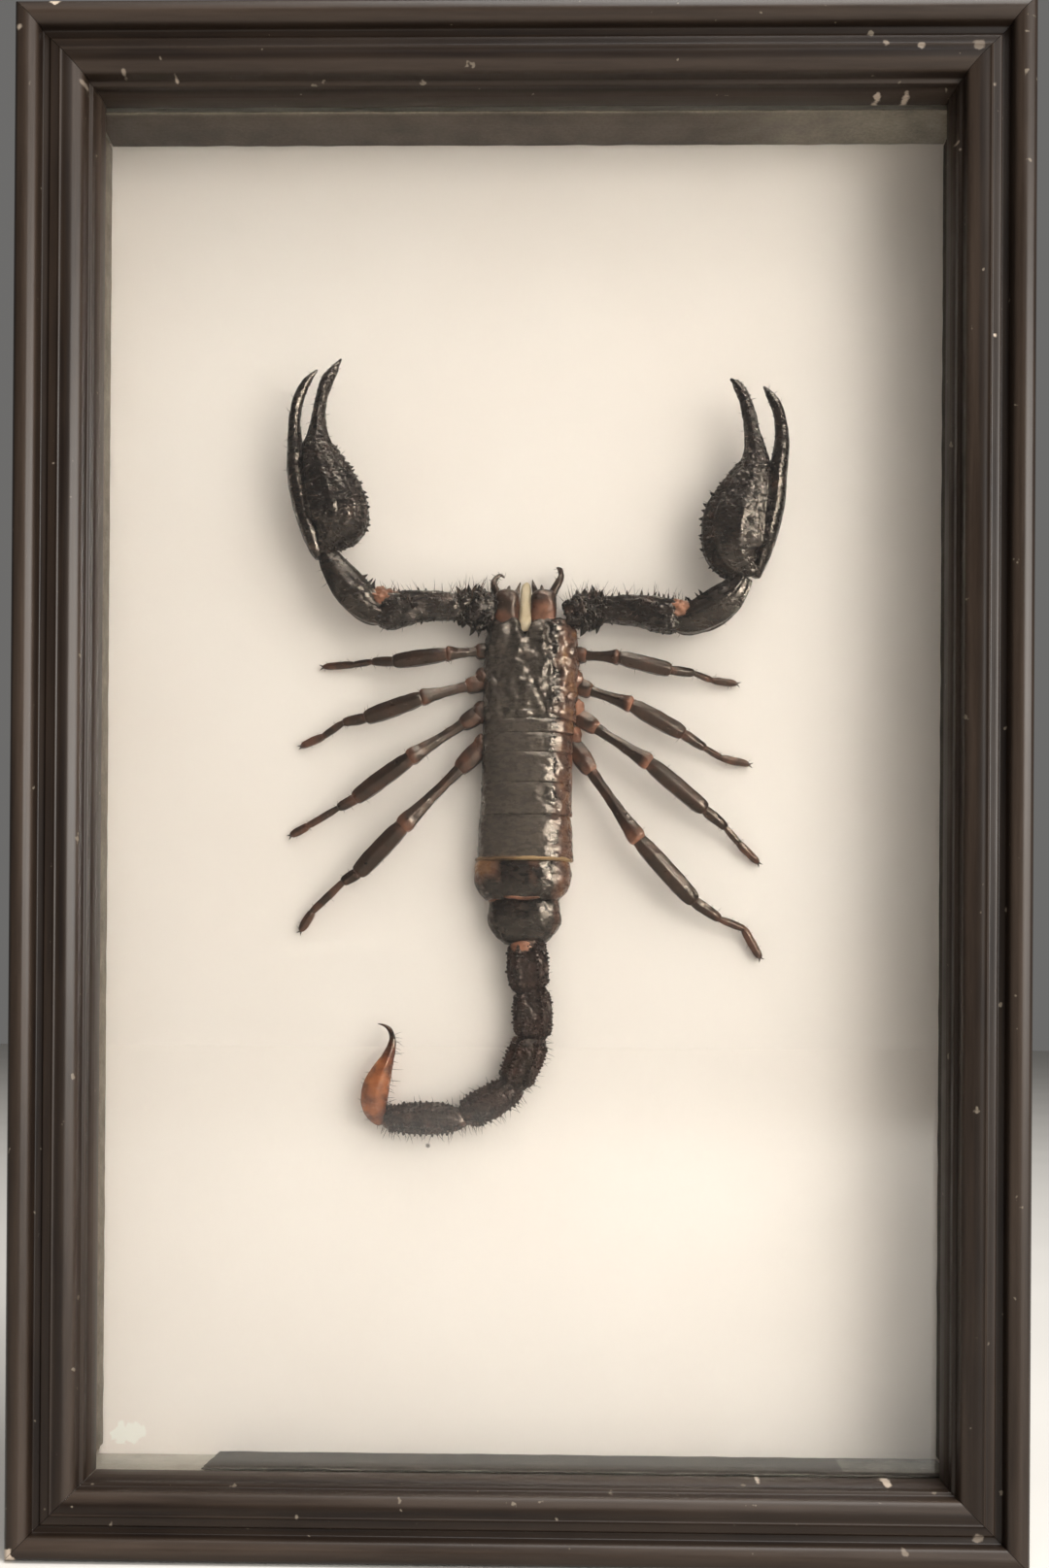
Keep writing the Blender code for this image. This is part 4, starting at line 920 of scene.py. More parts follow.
# %% Stations of the two arms
ARM_LEFT = {
    "first_piece": [(-4.6, 162.3, 3.9, 2.4, 2.2, 0.2), (-6.6, 162.9, 4.0, 3.0, 2.6),
                    (-8.2, 163.0, 4.1, 3.3, 2.7), (-9.6, 163.3, 4.2, 2.3, 2.3), (-10.6, 163.3, 4.3, 2.6, 2.2),
                    (-11.7, 163.3, 4.4, 1.6, 1.6)],
    "upper_arm": [(-10.9, 163.3, 4.4, 1.7, 1.6), (-11.9, 163.3, 4.5, 2.2, 2.1), (-16.9, 163.4, 4.9, 2.5, 2.3),
                  (-21.1, 162.8, 5.3, 2.9, 2.5), (-23.6, 162.1, 5.6, 2.95, 2.4),
                  (-24.6, 162.1, 5.7, 2.4, 2.0), (-25.4, 162.4, 5.7, 1.6, 1.6)],
    "elbow_skin": [(-21.9, 164.9, 6.2, 0.4, 0.5, 0.5), (-22.9, 164.8, 6.4, 1.0, 1.1, 0.7),
                   (-24.6, 164.7, 6.6, 1.5, 1.4, 0.8), (-26.0, 165.0, 6.5, 1.2, 1.2, 0.7),
                   (-26.9, 165.6, 6.4, 0.4, 0.5, 0.5)],
    "forearm": [(-24.4, 161.8, 5.7, 1.6, 1.6, 0.6), (-25.6, 162.1, 5.8, 2.1, 2.0, 0.1),
                (-27.1, 162.9, 5.9, 2.5, 2.4), (-29.1, 164.9, 6.2, 2.85, 2.7),
                (-31.3, 167.4, 6.5, 2.75, 2.6), (-32.9, 169.6, 6.8, 2.25, 2.2), (-34.1, 171.6, 7.0, 1.7, 1.7),
                (-34.5, 172.5, 7.0, 1.2, 1.3)],
    "hand": [(-34.4, 171.8, 6.9, 1.3, 1.5), (-34.4, 172.7, 7.0, 1.5, 2.0), (-34.2, 173.7, 7.0, 2.1, 2.5),
             (-33.5, 175.0, 7.1, 3.5, 3.0),
             (-32.8, 176.6, 7.2, 4.9, 3.5), (-32.7, 178.4, 7.4, 5.7, 3.8), (-33.3, 181.0, 7.5, 5.7, 3.7),
             (-34.3, 184.0, 7.5, 5.1, 3.3),
             (-35.3, 187.2, 7.6, 4.1, 2.8), (-35.9, 190.1, 7.7, 3.0, 2.3), (-35.9, 192.6, 7.8, 1.85, 1.8),
             (-35.8, 195.6, 7.9, 1.15, 1.3), (-35.4, 198.7, 7.9, 1.0, 1.1), (-34.5, 201.8, 7.8, 1.0, 0.95),
             (-33.3, 204.0, 7.6, 0.75, 0.7), (-31.9, 206.1, 7.5, 0.14, 0.14)],
    "moving_finger": [(-35.6, 171.2, 7.0, 0.7, 1.0), (-36.0, 172.4, 7.1, 1.1, 1.6),
                      (-36.8, 174.8, 7.2, 1.5, 2.0), (-37.7, 177.4, 7.3, 1.6, 2.2),
                      (-38.5, 180.2, 7.3, 1.65, 2.3), (-39.3, 183.4, 7.4, 1.6, 2.2),
                      (-39.8, 186.6, 7.5, 1.5, 2.0), (-39.9, 189.6, 7.6, 1.4, 1.7),
                      (-40.0, 192.6, 7.7, 1.15, 1.4), (-40.0, 195.6, 7.8, 0.98, 1.1),
                      (-39.4, 198.8, 7.8, 0.92, 0.9),
                      (-38.1, 201.8, 7.7, 0.75, 0.7), (-36.1, 204.2, 7.5, 0.14, 0.14)],
}
ARM_RIGHT = {
    "first_piece": [(7.6, 161.8, 3.9, 2.0, 1.9, 0.15), (9.2, 162.3, 4.0, 2.5, 2.3),
                    (10.8, 162.7, 4.1, 2.9, 2.6), (12.0, 162.8, 4.2, 2.3, 2.3), (13.2, 162.9, 4.3, 2.7, 2.2),
                    (14.6, 162.9, 4.4, 1.6, 1.6)],
    "upper_arm": [(13.8, 162.9, 4.4, 1.7, 1.6), (14.8, 162.9, 4.5, 2.2, 2.1), (19.5, 162.7, 4.9, 2.55, 2.3),
                  (23.4, 162.0, 5.3, 2.85, 2.5), (26.0, 161.3, 5.6, 2.8, 2.4), (27.1, 161.1, 5.7, 2.3, 2.0),
                  (27.9, 161.0, 5.7, 1.6, 1.6)],
    "elbow_skin": [(24.7, 163.2, 6.2, 0.4, 0.5, 0.5), (25.7, 163.0, 6.4, 1.2, 1.1, 0.7),
                   (27.2, 162.5, 6.6, 1.7, 1.5, 0.8), (28.6, 162.7, 6.6, 1.3, 1.2, 0.7),
                   (29.5, 163.3, 6.4, 0.4, 0.5, 0.5)],
    "forearm": [(26.9, 160.7, 5.7, 1.6, 1.6, 0.6), (28.1, 160.7, 5.8, 2.1, 2.0, 0.1),
                (30.0, 161.1, 5.9, 2.5, 2.4), (32.9, 162.4, 6.2, 2.85, 2.7),
                (35.6, 164.3, 6.5, 2.7, 2.6), (37.6, 166.4, 6.8, 2.1, 2.1), (38.7, 168.2, 7.0, 1.5, 1.5)],
    "hand": [(39.8, 168.2, 6.9, 1.2, 1.5), (39.6, 168.8, 7.0, 1.8, 2.0), (38.9, 169.6, 7.0, 2.9, 2.6),
             (38.0, 170.8, 7.1, 4.3, 3.1),
             (37.5, 172.4, 7.2, 5.7, 3.5), (37.5, 175.0, 7.4, 6.2, 3.8), (37.8, 178.0, 7.5, 6.3, 3.8),
             (38.8, 181.2, 7.5, 5.4, 3.4),
             (39.7, 184.4, 7.6, 4.2, 2.9), (40.3, 187.2, 7.7, 2.8, 2.4), (40.3, 190.0, 7.8, 1.9, 1.8),
             (39.8, 192.9, 7.9, 1.35, 1.4),
             (39.4, 195.6, 7.9, 1.15, 1.15), (38.4, 199.2, 7.8, 1.0, 0.95), (37.2, 201.4, 7.6, 0.75, 0.7),
             (36.0, 202.6, 7.5, 0.14, 0.14)],
    "moving_finger": [(40.6, 167.9, 7.0, 0.8, 1.1), (41.2, 170.2, 7.1, 1.25, 1.8),
                      (42.2, 173.6, 7.2, 1.6, 2.2), (43.1, 177.0, 7.3, 1.7, 2.3),
                      (43.9, 181.3, 7.4, 1.75, 2.2), (44.3, 185.9, 7.5, 1.6, 2.0),
                      (44.9, 190.0, 7.6, 1.35, 1.6), (45.0, 193.2, 7.7, 1.1, 1.2),
                      (44.3, 197.0, 7.8, 0.95, 0.95), (43.1, 199.4, 7.7, 0.75, 0.7),
                      (41.8, 201.2, 7.5, 0.14, 0.14)],
}
ARMS = {"left": ARM_LEFT, "right": ARM_RIGHT}
print("pieces in the two arms:", len(ARM_LEFT) + len(ARM_RIGHT))

# %% Two arms
# For each piece: ring, material, dents and grains, both as (size, depth)
ARM_FINISH = {
    "first_piece": (outline(36, 0.75, ridges=6, ridge=0.16), SHELL_GRAINED, (1.3, 1.5), (0.7, 0.3)),
    "upper_arm": (outline(44, 0.66, ridges=4, ridge=0.14, turn=pi / 4), SHELL_GRAINED, (1.8, 0.45), (0.7, 0.3)),
    "elbow_skin": (outline(36, 0.9, ridges=7, ridge=0.2), SHELL_LEG, (0.8, 1.1), None),
    "forearm": (outline(60, 0.8, ridges=6, ridge=0.22, turn=pi / 6), SHELL, (2.2, 0.3), None),
    "hand": (outline(80, 0.88, ridges=10, ridge=0.07, turn=pi / 10), SHELL_GRAINED, (3.0, 0.25), (0.8, 0.16)),
    "moving_finger": (outline(32, 0.85, ridges=4, ridge=0.09), SHELL, (1.8, 0.2), (0.6, 0.07)),
}
for side_name, arm in ARMS.items():
    for part_name, stations in arm.items():
        ring, material, dents, grains = ARM_FINISH[part_name]
        piece = grow("%s_%s" % (part_name, side_name), stations, ring, steps=6 if part_name == "hand" else 4)
        chitin(piece, material, dents=dents, grains=grains)
print("arms:", len(ARMS))

# %% [markdown]
# ## Jaws
# The two short jaws reach out in front of the head shield, on either side of the
# pale strip. Each is a rounded box with two small teeth and a hooked outer finger.
# Only its base is thin and reddish.

# %% Jaws
JAWS = {
    "left": [
        [(-2.7, 158.6, 3.9, 1.9, 1.5, 0.3), (-2.75, 161.4, 4.1, 2.15, 1.7, 0.5),
         (-2.75, 163.0, 4.3, 2.25, 1.9, 0.35), (-2.75, 164.8, 4.4, 2.25, 1.9, 0.1),
         (-2.75, 165.7, 4.4, 1.95, 1.5), (-2.75, 166.1, 4.3, 1.2, 0.9)],
        [(-4.1, 165.0, 4.3, 0.8, 1.0, 0.1), (-4.8, 166.3, 4.2, 0.72, 0.8, 0.1), (-5.1, 167.6, 4.1, 0.6, 0.62),
         (-4.6, 168.7, 3.9, 0.48, 0.46), (-3.9, 169.1, 3.8, 0.32, 0.3), (-3.2, 168.7, 3.7, 0.08, 0.08)],
        [(-1.3, 165.2, 4.3, 0.62, 0.8, 0.1), (-0.8, 166.6, 4.2, 0.42, 0.5), (-0.4, 167.9, 4.0, 0.1, 0.1)],
        [(-2.5, 165.8, 4.4, 0.5, 0.7, 0.1), (-2.4, 166.8, 4.3, 0.3, 0.4), (-2.3, 167.2, 4.2, 0.1, 0.1)],
    ],
    "right": [
        [(3.7, 158.6, 3.9, 2.0, 1.5, 0.5), (3.7, 161.4, 4.1, 2.2, 1.7, 0.72),
         (3.7, 163.0, 4.3, 2.3, 1.9, 0.6), (3.7, 164.8, 4.4, 2.25, 1.9, 0.1), (3.7, 165.7, 4.4, 2.0, 1.5),
         (3.7, 166.1, 4.3, 1.2, 0.9)],
        [(4.9, 165.2, 4.3, 0.8, 1.0, 0.1), (5.7, 166.6, 4.2, 0.75, 0.8, 0.1), (6.5, 168.1, 4.1, 0.68, 0.65),
         (6.8, 169.2, 3.9, 0.55, 0.5), (6.6, 170.1, 3.8, 0.4, 0.36), (6.0, 170.6, 3.7, 0.1, 0.1)],
        [(2.4, 165.3, 4.3, 0.62, 0.8, 0.1), (2.0, 166.9, 4.2, 0.42, 0.5), (1.7, 168.5, 4.0, 0.1, 0.1)],
        [(3.5, 165.9, 4.4, 0.5, 0.7, 0.1), (3.4, 166.9, 4.3, 0.3, 0.4), (3.3, 167.3, 4.2, 0.1, 0.1)],
    ],
}
for side_name, pieces in JAWS.items():
    for part_name, stations in zip(("jaw", "jaw_hook", "jaw_tooth", "jaw_tooth_middle"), pieces):
        piece = grow("%s_%s" % (part_name, side_name), stations, outline(28, 0.8), steps=4)
        chitin(piece, SHELL_LEG, dents=(1.3, 0.35))
print("jaw pieces:", sum(len(pieces) for pieces in JAWS.values()))

# %% [markdown]
# ## Legs
# Eight legs, each of a short thick base, a thigh that widens to the knee, a broad
# flat knee piece, a thin shin and a two-part foot with claws. Each piece is grown
# on its own, so its ends round off and the orange joints show between them, and
# then the pieces of a leg are joined into one mesh.

# %% Paths of the legs
LEGS = {
    "left": [
        [(-5.6, 156.0, 2.9), (-13.2, 154.9, 5.2), (-22.8, 153.8, 3.9), (-26.7, 154.0, 2.8),
         (-30.0, 153.7, 1.7), (-35.7, 153.4, 0.9)],
        [(-5.8, 150.6, 2.9), (-17.5, 147.2, 5.3), (-27.7, 143.8, 3.7), (-31.8, 143.2, 2.6),
         (-35.4, 140.9, 1.7), (-39.5, 139.2, 0.9)],
        [(-6.0, 145.8, 2.9), (-19.4, 136.7, 5.3), (-29.5, 129.5, 3.7), (-32.5, 128.0, 2.6),
         (-38.0, 124.9, 1.7), (-41.3, 123.2, 0.9)],
        [(-6.0, 140.0, 2.9), (-20.6, 124.8, 5.5), (-28.9, 116.3, 3.9), (-31.6, 114.8, 2.8),
         (-37.2, 109.6, 1.7), (-39.4, 106.1, 0.9)],
    ],
    "right": [
        [(8.5, 155.3, 2.9), (16.8, 154.4, 5.2), (26.2, 152.4, 3.9), (30.4, 152.1, 2.8), (33.6, 151.1, 1.7),
         (38.2, 150.6, 0.9)],
        [(8.7, 150.1, 2.9), (19.1, 146.1, 5.3), (28.5, 141.2, 3.7), (32.4, 138.9, 2.6), (35.3, 137.3, 1.7),
         (40.5, 136.2, 0.9)],
        [(8.5, 145.3, 2.9), (22.2, 136.0, 5.3), (32.4, 127.8, 3.7), (36.2, 124.8, 2.6), (38.5, 122.2, 1.7),
         (42.2, 118.7, 0.9)],
        [(8.1, 140.7, 2.9), (20.4, 122.6, 5.5), (30.6, 111.6, 3.9), (35.2, 108.6, 2.8), (39.5, 107.0, 1.7),
         (42.6, 101.8, 0.9)],
    ],
}
LEG_SCALE = (0.98, 1.06, 1.1, 1.2)
# Each piece: the joint that it starts from, and rows of (share of the stretch, radius, warmth)
LEG_PIECES = [
    (0, [(-0.02, 0.9, 0.2), (0.04, 1.2, 0.22), (0.18, 1.4, 0.2), (0.29, 1.28, 0.3), (0.34, 1.0, 0.55),
         (0.37, 0.5, 0.6)]),
    (0, [(0.28, 0.5, 0.5), (0.34, 0.85, 0.15), (0.5, 0.76, 0.05), (0.72, 0.88, 0.05), (0.88, 1.12, 0.1),
         (0.97, 1.34, 0.45), (1.02, 1.15, 0.7), (1.05, 0.5, 0.7)]),
    (1, [(-0.04, 0.5, 0.6), (0.01, 0.95, 0.55), (0.06, 1.1, 0.2), (0.25, 1.32, 0.0), (0.7, 1.36, 0.0),
         (0.92, 1.22, 0.05), (0.99, 0.95, 0.3), (1.01, 0.5, 0.5)]),
    (2, [(-0.06, 0.4, 0.6), (0.03, 0.78, 0.3), (0.45, 0.84, 0.1), (0.9, 0.68, 0.2), (1.0, 0.42, 0.4)]),
    (3, [(-0.05, 0.34, 0.4), (0.12, 0.5, 0.2), (0.6, 0.56, 0.25), (0.95, 0.52, 0.4), (1.02, 0.34, 0.45)]),
    (4, [(-0.05, 0.34, 0.5), (0.12, 0.6, 0.45), (0.6, 0.64, 0.5), (0.9, 0.5, 0.5), (1.0, 0.22, 0.45)]),
]
print("legs:", sum(len(legs) for legs in LEGS.values()), "pieces in each:", len(LEG_PIECES))

# %% Eight legs
LEG_RING = outline(24, 0.8, ridges=6, ridge=0.16, turn=pi / 6)


def leg_stations(joints, scale, start, rows, redder):
    stations = []
    for share, radius, warm in rows:
        spot = Vector(joints[start]).lerp(Vector(joints[start + 1]), share)
        size = radius * scale
        stations.append((*spot, size, size * 0.85, min(1.0, warm * redder)))
    return stations


for side_name, legs in LEGS.items():
    for number, (joints, scale) in enumerate(zip(legs, LEG_SCALE), start=1):
        pieces = []
        for start, rows in LEG_PIECES:
            redder = 1.2 if side_name == "right" and number > 1 and start == 0 else 0.85
            stations = leg_stations(joints, scale, start, rows, redder)
            pieces.append(grow("leg_piece_%d" % len(pieces), stations, LEG_RING, steps=3))
        pick(pieces[0])
        for piece in pieces[1:]:
            piece.select_set(True)
        bpy.ops.object.join()
        leg = bpy.context.object
        leg.name = leg.data.name = "leg_%s_%d" % (side_name, number)
        chitin(leg, SHELL_LEG, dents=(1.4, 0.22))
print("faces in the last leg:", len(leg.data.polygons))

# %% [markdown]
# The legs leave the trunk from soft sockets. On the right they show as bright
# orange lumps, and on the left they are darker.

# %% Sockets of the legs
SOCKETS = {
    "left": [(-6.9, 151.0, 0.2), (-7.2, 145.0, 0.3), (-6.9, 139.2, 0.25)],
    "right": [(9.4, 150.6, 0.62), (9.6, 145.6, 0.85), (9.2, 140.6, 0.7)],
}
# Rows of (place along the body, height above the card, half width, half thickness)
SOCKET_LUMP = [(1.9, 3.2, 0.3, 0.3), (1.4, 3.3, 1.1, 1.0), (0.0, 3.4, 1.5, 1.5), (-1.4, 3.3, 1.1, 1.0),
               (-1.9, 3.2, 0.3, 0.3)]
for side_name, spots in SOCKETS.items():
    for number, (x, z, warm) in enumerate(spots, start=2):
        lump = [(x, z + rise, *size, warm) for rise, *size in SOCKET_LUMP]
        piece = grow("leg_socket_%s_%d" % (side_name, number), lump, outline(24), steps=4)
        chitin(piece, SHELL_LEG, dents=(1.0, 0.6))
print("sockets:", sum(len(spots) for spots in SOCKETS.values()))

# %% [markdown]
# ## Thorns, beads and bristles
# What repeats is modelled once, small and plain, and copied. A thorn is a ring
# extruded into a bent cone. A bead is a low dome, and a bristle is a thorn with
# fewer sides and a long tip. Each copy stands on a seat: a foot point on a limb, a
# direction, a length and a radius. All copies of one kind on one limb become one
# mesh, which is written point by point, because hundreds of objects joined by hand
# would take minutes.

# %% Seeds: one thorn, one bead and one bristle


def make_seed(name, sides, rings):
    """A tapering form of unit size on the origin: rings are (height, radius, lean)."""
    seed = add(name, bpy.ops.mesh.primitive_circle_add, vertices=sides, radius=1, fill_type="NGON")
    bpy.ops.object.mode_set(mode="EDIT")
    bpy.ops.mesh.select_all(action="SELECT")
    height, radius, lean = 0.0, 1.0, 0.0
    for next_height, next_radius, next_lean in rings:
        step = (next_lean - lean, 0, next_height - height)
        bpy.ops.mesh.extrude_region_move(TRANSFORM_OT_translate={"value": step})
        shrink = next_radius / radius
        bpy.ops.transform.resize(value=(shrink, shrink, 1), center_override=(next_lean, 0, next_height))
        height, radius, lean = next_height, next_radius, next_lean
    bpy.ops.object.mode_set(mode="OBJECT")
    face_outwards(seed)
    return seed


THORN = make_seed("thorn_seed", 7, [(0.35, 0.72, 0.1), (0.7, 0.42, 0.35), (1.0, 0.06, 0.8)])
BEAD = make_seed("bead_seed", 8, [(0.45, 0.86, 0.0), (0.85, 0.5, 0.0), (1.0, 0.15, 0.0)])
BRISTLE_SEED = make_seed("bristle_seed", 4, [(0.3, 0.8, 0.6), (0.62, 0.6, 2.2), (0.85, 0.4, 4.2), (1.0, 0.1, 6.0)])


def sow(name, seed, seats, material):
    """One mesh with a copy of the seed at each seat: (foot, direction, length, radius)."""
    points, faces = [], []
    for foot, aim, length, radius in seats:
        turn = aim.to_track_quat("Z", "Y").to_matrix() @ Matrix.Rotation(CHANCE.uniform(0, 2 * pi), 3, "Z")
        first = len(points)
        for vert in seed.data.vertices:
            points.append(foot + turn @ (Vector((vert.co.x * radius, vert.co.y * radius, vert.co.z * length)) * MM))
        faces += [[first + corner for corner in face.vertices] for face in seed.data.polygons]
    mesh = bpy.data.meshes.new(name)
    mesh.from_pydata(points, [], faces)
    piece = bpy.data.objects.new(name, mesh)
    bpy.context.scene.collection.objects.link(piece)
    finish_piece(piece, material, "scorpion", 50)
    print(name, "copies:", len(seats))


print("faces of a thorn: %d, of a bristle: %d" % (len(THORN.data.polygons), len(BRISTLE_SEED.data.polygons)))

# %% [markdown]
# A seat is found on a limb by the same stations that grew it: the share of its
# length, and the angle round its ring. Angle 0 lies at the inner side of a left
# limb, a quarter turn faces the viewer, and a right limb is its mirror image.

# %% Finding seats on a limb
SEAT_SUNK = 0.12


def perch(stations, share, angle, power):
    """A foot point just under the surface of a grown limb, and the way out of it."""
    rows = smooth([row[:5] for row in stations], 4)
    where = station_matrix(rows, round(share * (len(rows) - 1)))
    across, upward = rim(angle, power)
    foot = where @ Vector((across, upward, 0))
    out = (foot - where.translation).normalized()
    return foot - out * SEAT_SUNK * MM, out


def lean_over(direction, amount):
    """A direction turned a little by chance, never down into the card."""
    turned = direction + Vector([CHANCE.uniform(-amount, amount) for _ in range(3)])
    turned.y = min(turned.y, 0.35)
    return turned.normalized()


def seats_on(stations, shares, angles, length, radius, amount=0.3, mirror=False, power=0.85):
    seats = []
    for share in shares:
        angle = CHANCE.uniform(*angles)
        foot, out = perch(stations, share, pi - angle if mirror else angle, power)
        aim = lean_over(out, amount)
        seats.append((foot, aim, length * CHANCE.uniform(0.7, 1.25), radius * CHANCE.uniform(0.8, 1.2)))
    return seats


def spread(count, first, last):
    """Shares at even steps, each a little off by chance."""
    step = (last - first) / max(1, count - 1)
    return [min(1.0, max(0.0, first + step * (k + CHANCE.uniform(-0.3, 0.3)))) for k in range(count)]


print("five shares:", ["%.2f" % share for share in spread(5, 0, 1)])

# %% Thorns of the arms
ARM_POWERS = {"first_piece": 0.75, "upper_arm": 0.66, "forearm": 0.8, "hand": 0.88, "moving_finger": 0.85}
# Each row: part, count, first and last share, lowest and highest angle, length, radius, scatter
THORN_ROWS = [
    ("first_piece", 34, 0.1, 0.95, 0.0, 3.3, 0.9, 0.45, 0.6),
    ("first_piece", 9, 0.3, 0.9, -0.3, 0.5, 1.6, 0.6, 0.5),
    ("first_piece", 8, 0.3, 0.9, 2.8, 3.5, 1.6, 0.6, 0.5),
    ("upper_arm", 18, 0.1, 0.86, -0.1, 0.3, 0.9, 0.34, 0.2),
    ("upper_arm", 17, 0.12, 0.9, 0.6, 0.8, 0.5, 0.3, 0.2),
    ("upper_arm", 15, 0.1, 0.9, 2.4, 2.7, 0.45, 0.28, 0.2),
    ("upper_arm", 9, 0.2, 0.9, 3.0, 3.3, 0.5, 0.3, 0.2),
    ("forearm", 5, 0.3, 0.5, 0.0, 0.4, 1.5, 0.42, 0.4),
    ("forearm", 6, 0.35, 0.7, 0.1, 0.3, 0.5, 0.28, 0.3),
    ("hand", 26, 0.1, 0.6, -0.15, 0.15, 0.75, 0.42, 0.25),
    ("hand", 22, 0.12, 0.56, 0.35, 0.6, 0.5, 0.38, 0.25),
    ("hand", 12, 0.68, 0.95, 2.9, 3.4, 0.34, 0.22, 0.2),
    ("moving_finger", 14, 0.5, 0.95, -0.2, 0.2, 0.34, 0.2, 0.2),
]
for side_name, arm in ARMS.items():
    seats = []
    for part_name, count, first, last, low, high, length, radius, amount in THORN_ROWS:
        shares = spread(count, first, last)
        mirror = side_name == "right"
        seats += seats_on(arm[part_name], shares, (low, high), length, radius, amount, mirror, ARM_POWERS[part_name])
    sow("thorns_arm_" + side_name, THORN, seats, SHELL_GRAINED)

# %% Beads of the arms and the tail
# Each row: part, count, first and last share, lowest and highest angle, height, radius
BEAD_ROWS = [
    ("upper_arm", 130, 0.04, 0.96, 0.25, 2.9, 0.2, 0.24), ("upper_arm", 34, 0.04, 0.96, 0.72, 0.85, 0.3, 0.3),
    ("upper_arm", 34, 0.04, 0.96, 2.3, 2.42, 0.3, 0.3), ("first_piece", 60, 0.05, 0.95, 0.0, 3.1, 0.5, 0.36),
    ("hand", 230, 0.06, 0.66, 0.1, 2.2, 0.16, 0.26), ("hand", 60, 0.06, 0.6, 0.0, 0.5, 0.3, 0.32),
    ("forearm", 30, 0.1, 0.9, 1.5, 1.64, 0.22, 0.24), ("forearm", 30, 0.1, 0.9, 2.5, 2.7, 0.22, 0.24),
]
for side_name, arm in ARMS.items():
    seats = []
    for part_name, count, first, last, low, high, length, radius in BEAD_ROWS:
        shares = spread(count, first, last)
        mirror = side_name == "right"
        height = length + SEAT_SUNK
        seats += seats_on(arm[part_name], shares, (low, high), height, radius, 0.1, mirror, ARM_POWERS[part_name])
    sow("beads_arm_" + side_name, BEAD, seats, SHELL_GRAINED)

seats = []
for stations in TAIL_SEGMENTS:
    for keel in (0.38, 1.15, 1.98, 2.75):
        seats += seats_on(stations, spread(15, 0.2, 0.8), (keel, keel + 0.03), 0.72, 0.34, 0.1, False, 0.82)
    seats += seats_on(stations, spread(70, 0.16, 0.84), (0.0, 3.14), 0.4, 0.26, 0.1, False, 0.82)
sow("beads_tail", BEAD, seats, SHELL_TAIL)

# %% Claws of the feet
seats = []
for side_name, legs in LEGS.items():
    for joints in legs:
        ankle, toe = place(*joints[4]), place(*joints[5])
        ahead = (toe - ankle).normalized()
        sideways = ahead.cross(TOWARDS_VIEWER)
        for turn in (-0.55, 0.55):
            seats.append((toe - ahead * 0.2 * MM, (ahead + sideways * turn).normalized(), 1.0, 0.2))
sow("claws", THORN, seats, SHELL_LEG)

# %% Bristles of the arms, the tail and the legs
# Each row: part, count, first and last share, lowest and highest angle, length
BRISTLE_ROWS = [
    ("first_piece", 30, 0.1, 0.95, -0.5, 1.2, 2.8), ("upper_arm", 34, 0.05, 0.95, -0.1, 0.7, 2.4),
    ("upper_arm", 14, 0.05, 0.95, 1.0, 3.4, 1.3), ("forearm", 14, 0.15, 0.95, -0.2, 3.3, 1.2),
    ("hand", 24, 0.1, 0.75, -0.3, 3.4, 1.2), ("hand", 12, 0.6, 0.95, -0.3, 3.4, 0.9),
    ("moving_finger", 16, 0.1, 0.95, 0.0, 3.2, 0.9),
]
BRISTLE_RADIUS = 0.06
for side_name, arm in ARMS.items():
    seats = []
    for part_name, count, first, last, low, high, length in BRISTLE_ROWS:
        shares = spread(count, first, last)
        seats += seats_on(arm[part_name], shares, (low, high), length, BRISTLE_RADIUS, 0.5, side_name == "right")
    sow("bristles_arm_" + side_name, BRISTLE_SEED, seats, BRISTLE)

seats = []
for stations, count, length in zip(TAIL_SEGMENTS, (8, 10, 22, 34, 44), (0.9, 1.0, 1.6, 1.9, 1.9)):
    seats += seats_on(stations, spread(count, 0.08, 0.95), (-0.3, 0.9), length, BRISTLE_RADIUS, 0.5, mirror=True)
    seats += seats_on(stations, spread(count // 2, 0.08, 0.95), (-0.4, 0.9), length * 0.8, BRISTLE_RADIUS, 0.6)
seats += seats_on(STING, spread(22, 0.15, 0.75), (-0.5, 0.8), 1.7, BRISTLE_RADIUS, 0.5)
seats += seats_on(STING, spread(10, 0.15, 0.6), (2.3, 3.5), 1.0, BRISTLE_RADIUS, 0.5)
sow("bristles_tail", BRISTLE_SEED, seats, BRISTLE)

seats = []
for side_name, legs in LEGS.items():
    for joints, scale in zip(legs, LEG_SCALE):
        for start, rows in LEG_PIECES[1:]:
            stations = leg_stations(joints, scale, start, rows, 1.0)
            length = 0.9 if start < 3 else 0.75
            seats += seats_on(stations, spread(7, 0.15, 0.95), (-0.4, 3.6), length, BRISTLE_RADIUS * 0.85, 0.6)
sow("bristles_legs", BRISTLE_SEED, seats, BRISTLE)

seats = seats_on(SHIELD, spread(16, 0.0, 0.5), (-0.2, 0.3), 0.9, BRISTLE_RADIUS, 0.5)
seats += seats_on(SHIELD, spread(16, 0.0, 0.5), (-0.2, 0.3), 0.9, BRISTLE_RADIUS, 0.5, mirror=True)
for pieces in JAWS.values():
    for stations in pieces[:2]:
        seats += seats_on(stations, spread(8, 0.3, 0.95), (-0.4, 3.6), 0.8, BRISTLE_RADIUS, 0.6)
sow("bristles_head", BRISTLE_SEED, seats, BRISTLE)

for seed in (THORN, BEAD, BRISTLE_SEED):
    bpy.data.objects.remove(seed, do_unlink=True)

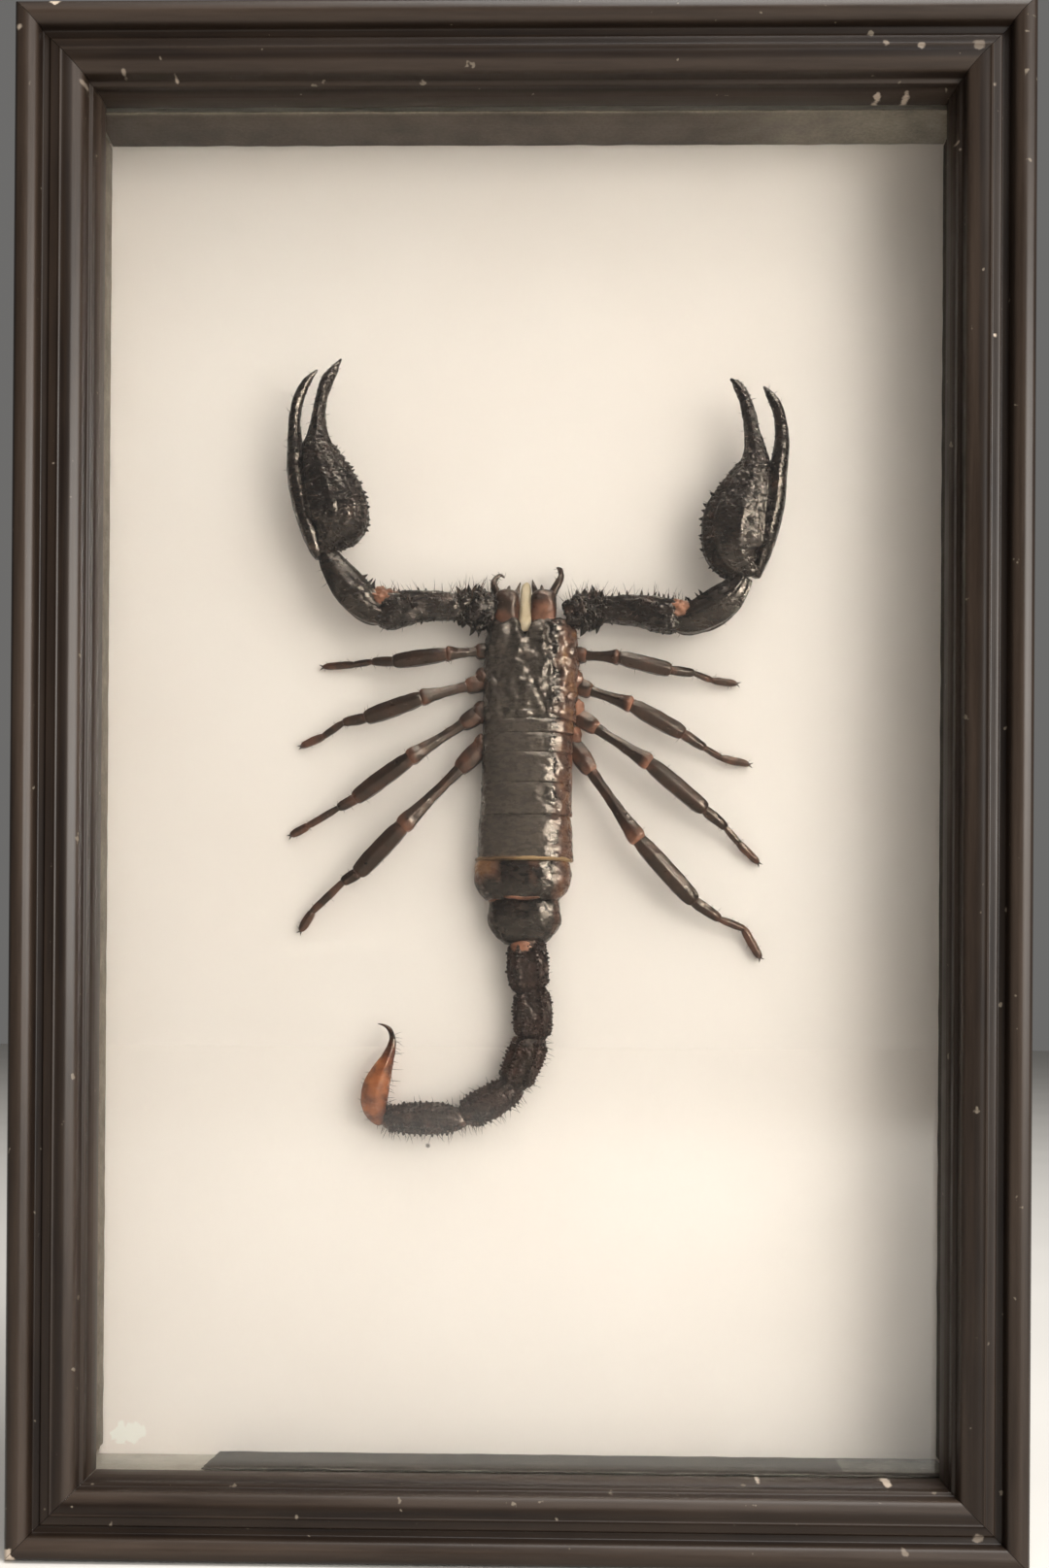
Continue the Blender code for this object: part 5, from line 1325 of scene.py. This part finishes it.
# %% [markdown]
# ## Floor, light and camera
# A plain pale floor, a soft key light on the right, which throws the shadows to the
# left as in the photograph, a wide soft fill from high in front, and a dim pale
# world. The flat pane mirrors what stands before it, so both lights stand aside of
# that. Light that comes through the pane counts as indirect, and very bright
# indirect light is cut off to avoid sparkles. The lights are therefore weak, and
# the exposure is raised instead. The floor reaches so far that its mirrored edge
# is nearly as bright as the world above it and hardly shows.

# %% Floor
FLOOR_SIZE = 9.0
FLOOR, tree, shader, where = new_material("pale_floor_matt")
shade = add_node(tree, "ShaderNodeTexNoise", {"Vector": where, "Scale": per_mm(120), "Detail": 2.0})
inputs = {0: shade, MIX_A: srgb("C9C6C1"), MIX_B: srgb("D6D3CE")}
base = add_node(tree, "ShaderNodeMix", inputs, MIX_RESULT, data_type="RGBA")
tree.links.new(base, shader.inputs["Base Color"])
shader.inputs["Roughness"].default_value = 0.9
floor = add("floor", bpy.ops.mesh.primitive_plane_add, size=FLOOR_SIZE)
floor.data.materials.append(FLOOR)
print("floor side %.1f m" % FLOOR_SIZE)

# %% Light


def area_light(name, spot, target, size, power, colour):
    light = bpy.data.lights.new(name, "AREA")
    light.size = size
    light.energy = power
    light.color = srgb(colour)[:3]
    lamp = bpy.data.objects.new(name, light)
    bpy.context.scene.collection.objects.link(lamp)
    lamp.location = spot
    lamp.rotation_euler = (Vector(target) - Vector(spot)).to_track_quat("-Z", "Y").to_euler()
    return lamp


WORLD_STRENGTH = 0.035
EXPOSURE = 2.17
MIDDLE = (0, 0, 0.13)
# Places in metres, then what each light points at, its side in metres, watts and colour
area_light("key_light", (0.76, -0.84, 0.36), MIDDLE, 0.5, 4.9, "FFFCF7")
area_light("fill_light", (0.3, -0.62, 1.5), MIDDLE, 0.9, 7.5, "FFFDFA")
world = bpy.data.worlds.new("pale_world")
bpy.context.scene.world = world
world.use_nodes = True
world.node_tree.nodes["Background"].inputs["Color"].default_value = srgb("F8F6F3")
world.node_tree.nodes["Background"].inputs["Strength"].default_value = WORLD_STRENGTH
bpy.context.scene.view_settings.view_transform = "Standard"
bpy.context.scene.view_settings.exposure = EXPOSURE
print("lights:", len(bpy.data.lights))

# %% [markdown]
# The camera stood close and low: the perspective of the frame's sides gives its
# place, about 280 mm in front of the glass and 39 mm below the middle.

# %% Camera
CAMERA_BACK = 280.0
CAMERA_X, CAMERA_Z = 6.5, 91.44
YAW, PITCH, ROLL = radians(1.087), radians(0.206), radians(0.372)
FOCAL_PIXELS = 1753.4
PHOTO_TALL = 1615
SIGHT_ROW = 1038.9
SENSOR = 36.0

camera_data = bpy.data.cameras.new("photo_camera")
camera = bpy.data.objects.new("photo_camera", camera_data)
bpy.context.scene.collection.objects.link(camera)
ahead = Vector((-sin(YAW) * cos(PITCH), cos(YAW) * cos(PITCH), sin(PITCH)))
level = Vector((cos(YAW), sin(YAW), 0))
upright = level.cross(ahead)
right = level * cos(ROLL) + upright * sin(ROLL)
upwards = upright * cos(ROLL) - level * sin(ROLL)
turn = Matrix((right, upwards, -ahead)).transposed().to_4x4()
camera.matrix_world = Matrix.Translation(Vector((CAMERA_X, FRONT - CAMERA_BACK, CAMERA_Z)) * MM) @ turn
camera_data.sensor_width = SENSOR
camera_data.lens = SENSOR * FOCAL_PIXELS / PHOTO_TALL
camera_data.shift_y = (SIGHT_ROW - PHOTO_TALL / 2) / PHOTO_TALL
bpy.context.scene.camera = camera
print("lens %.1f mm" % camera_data.lens)

print("solids", CAD_BOX)
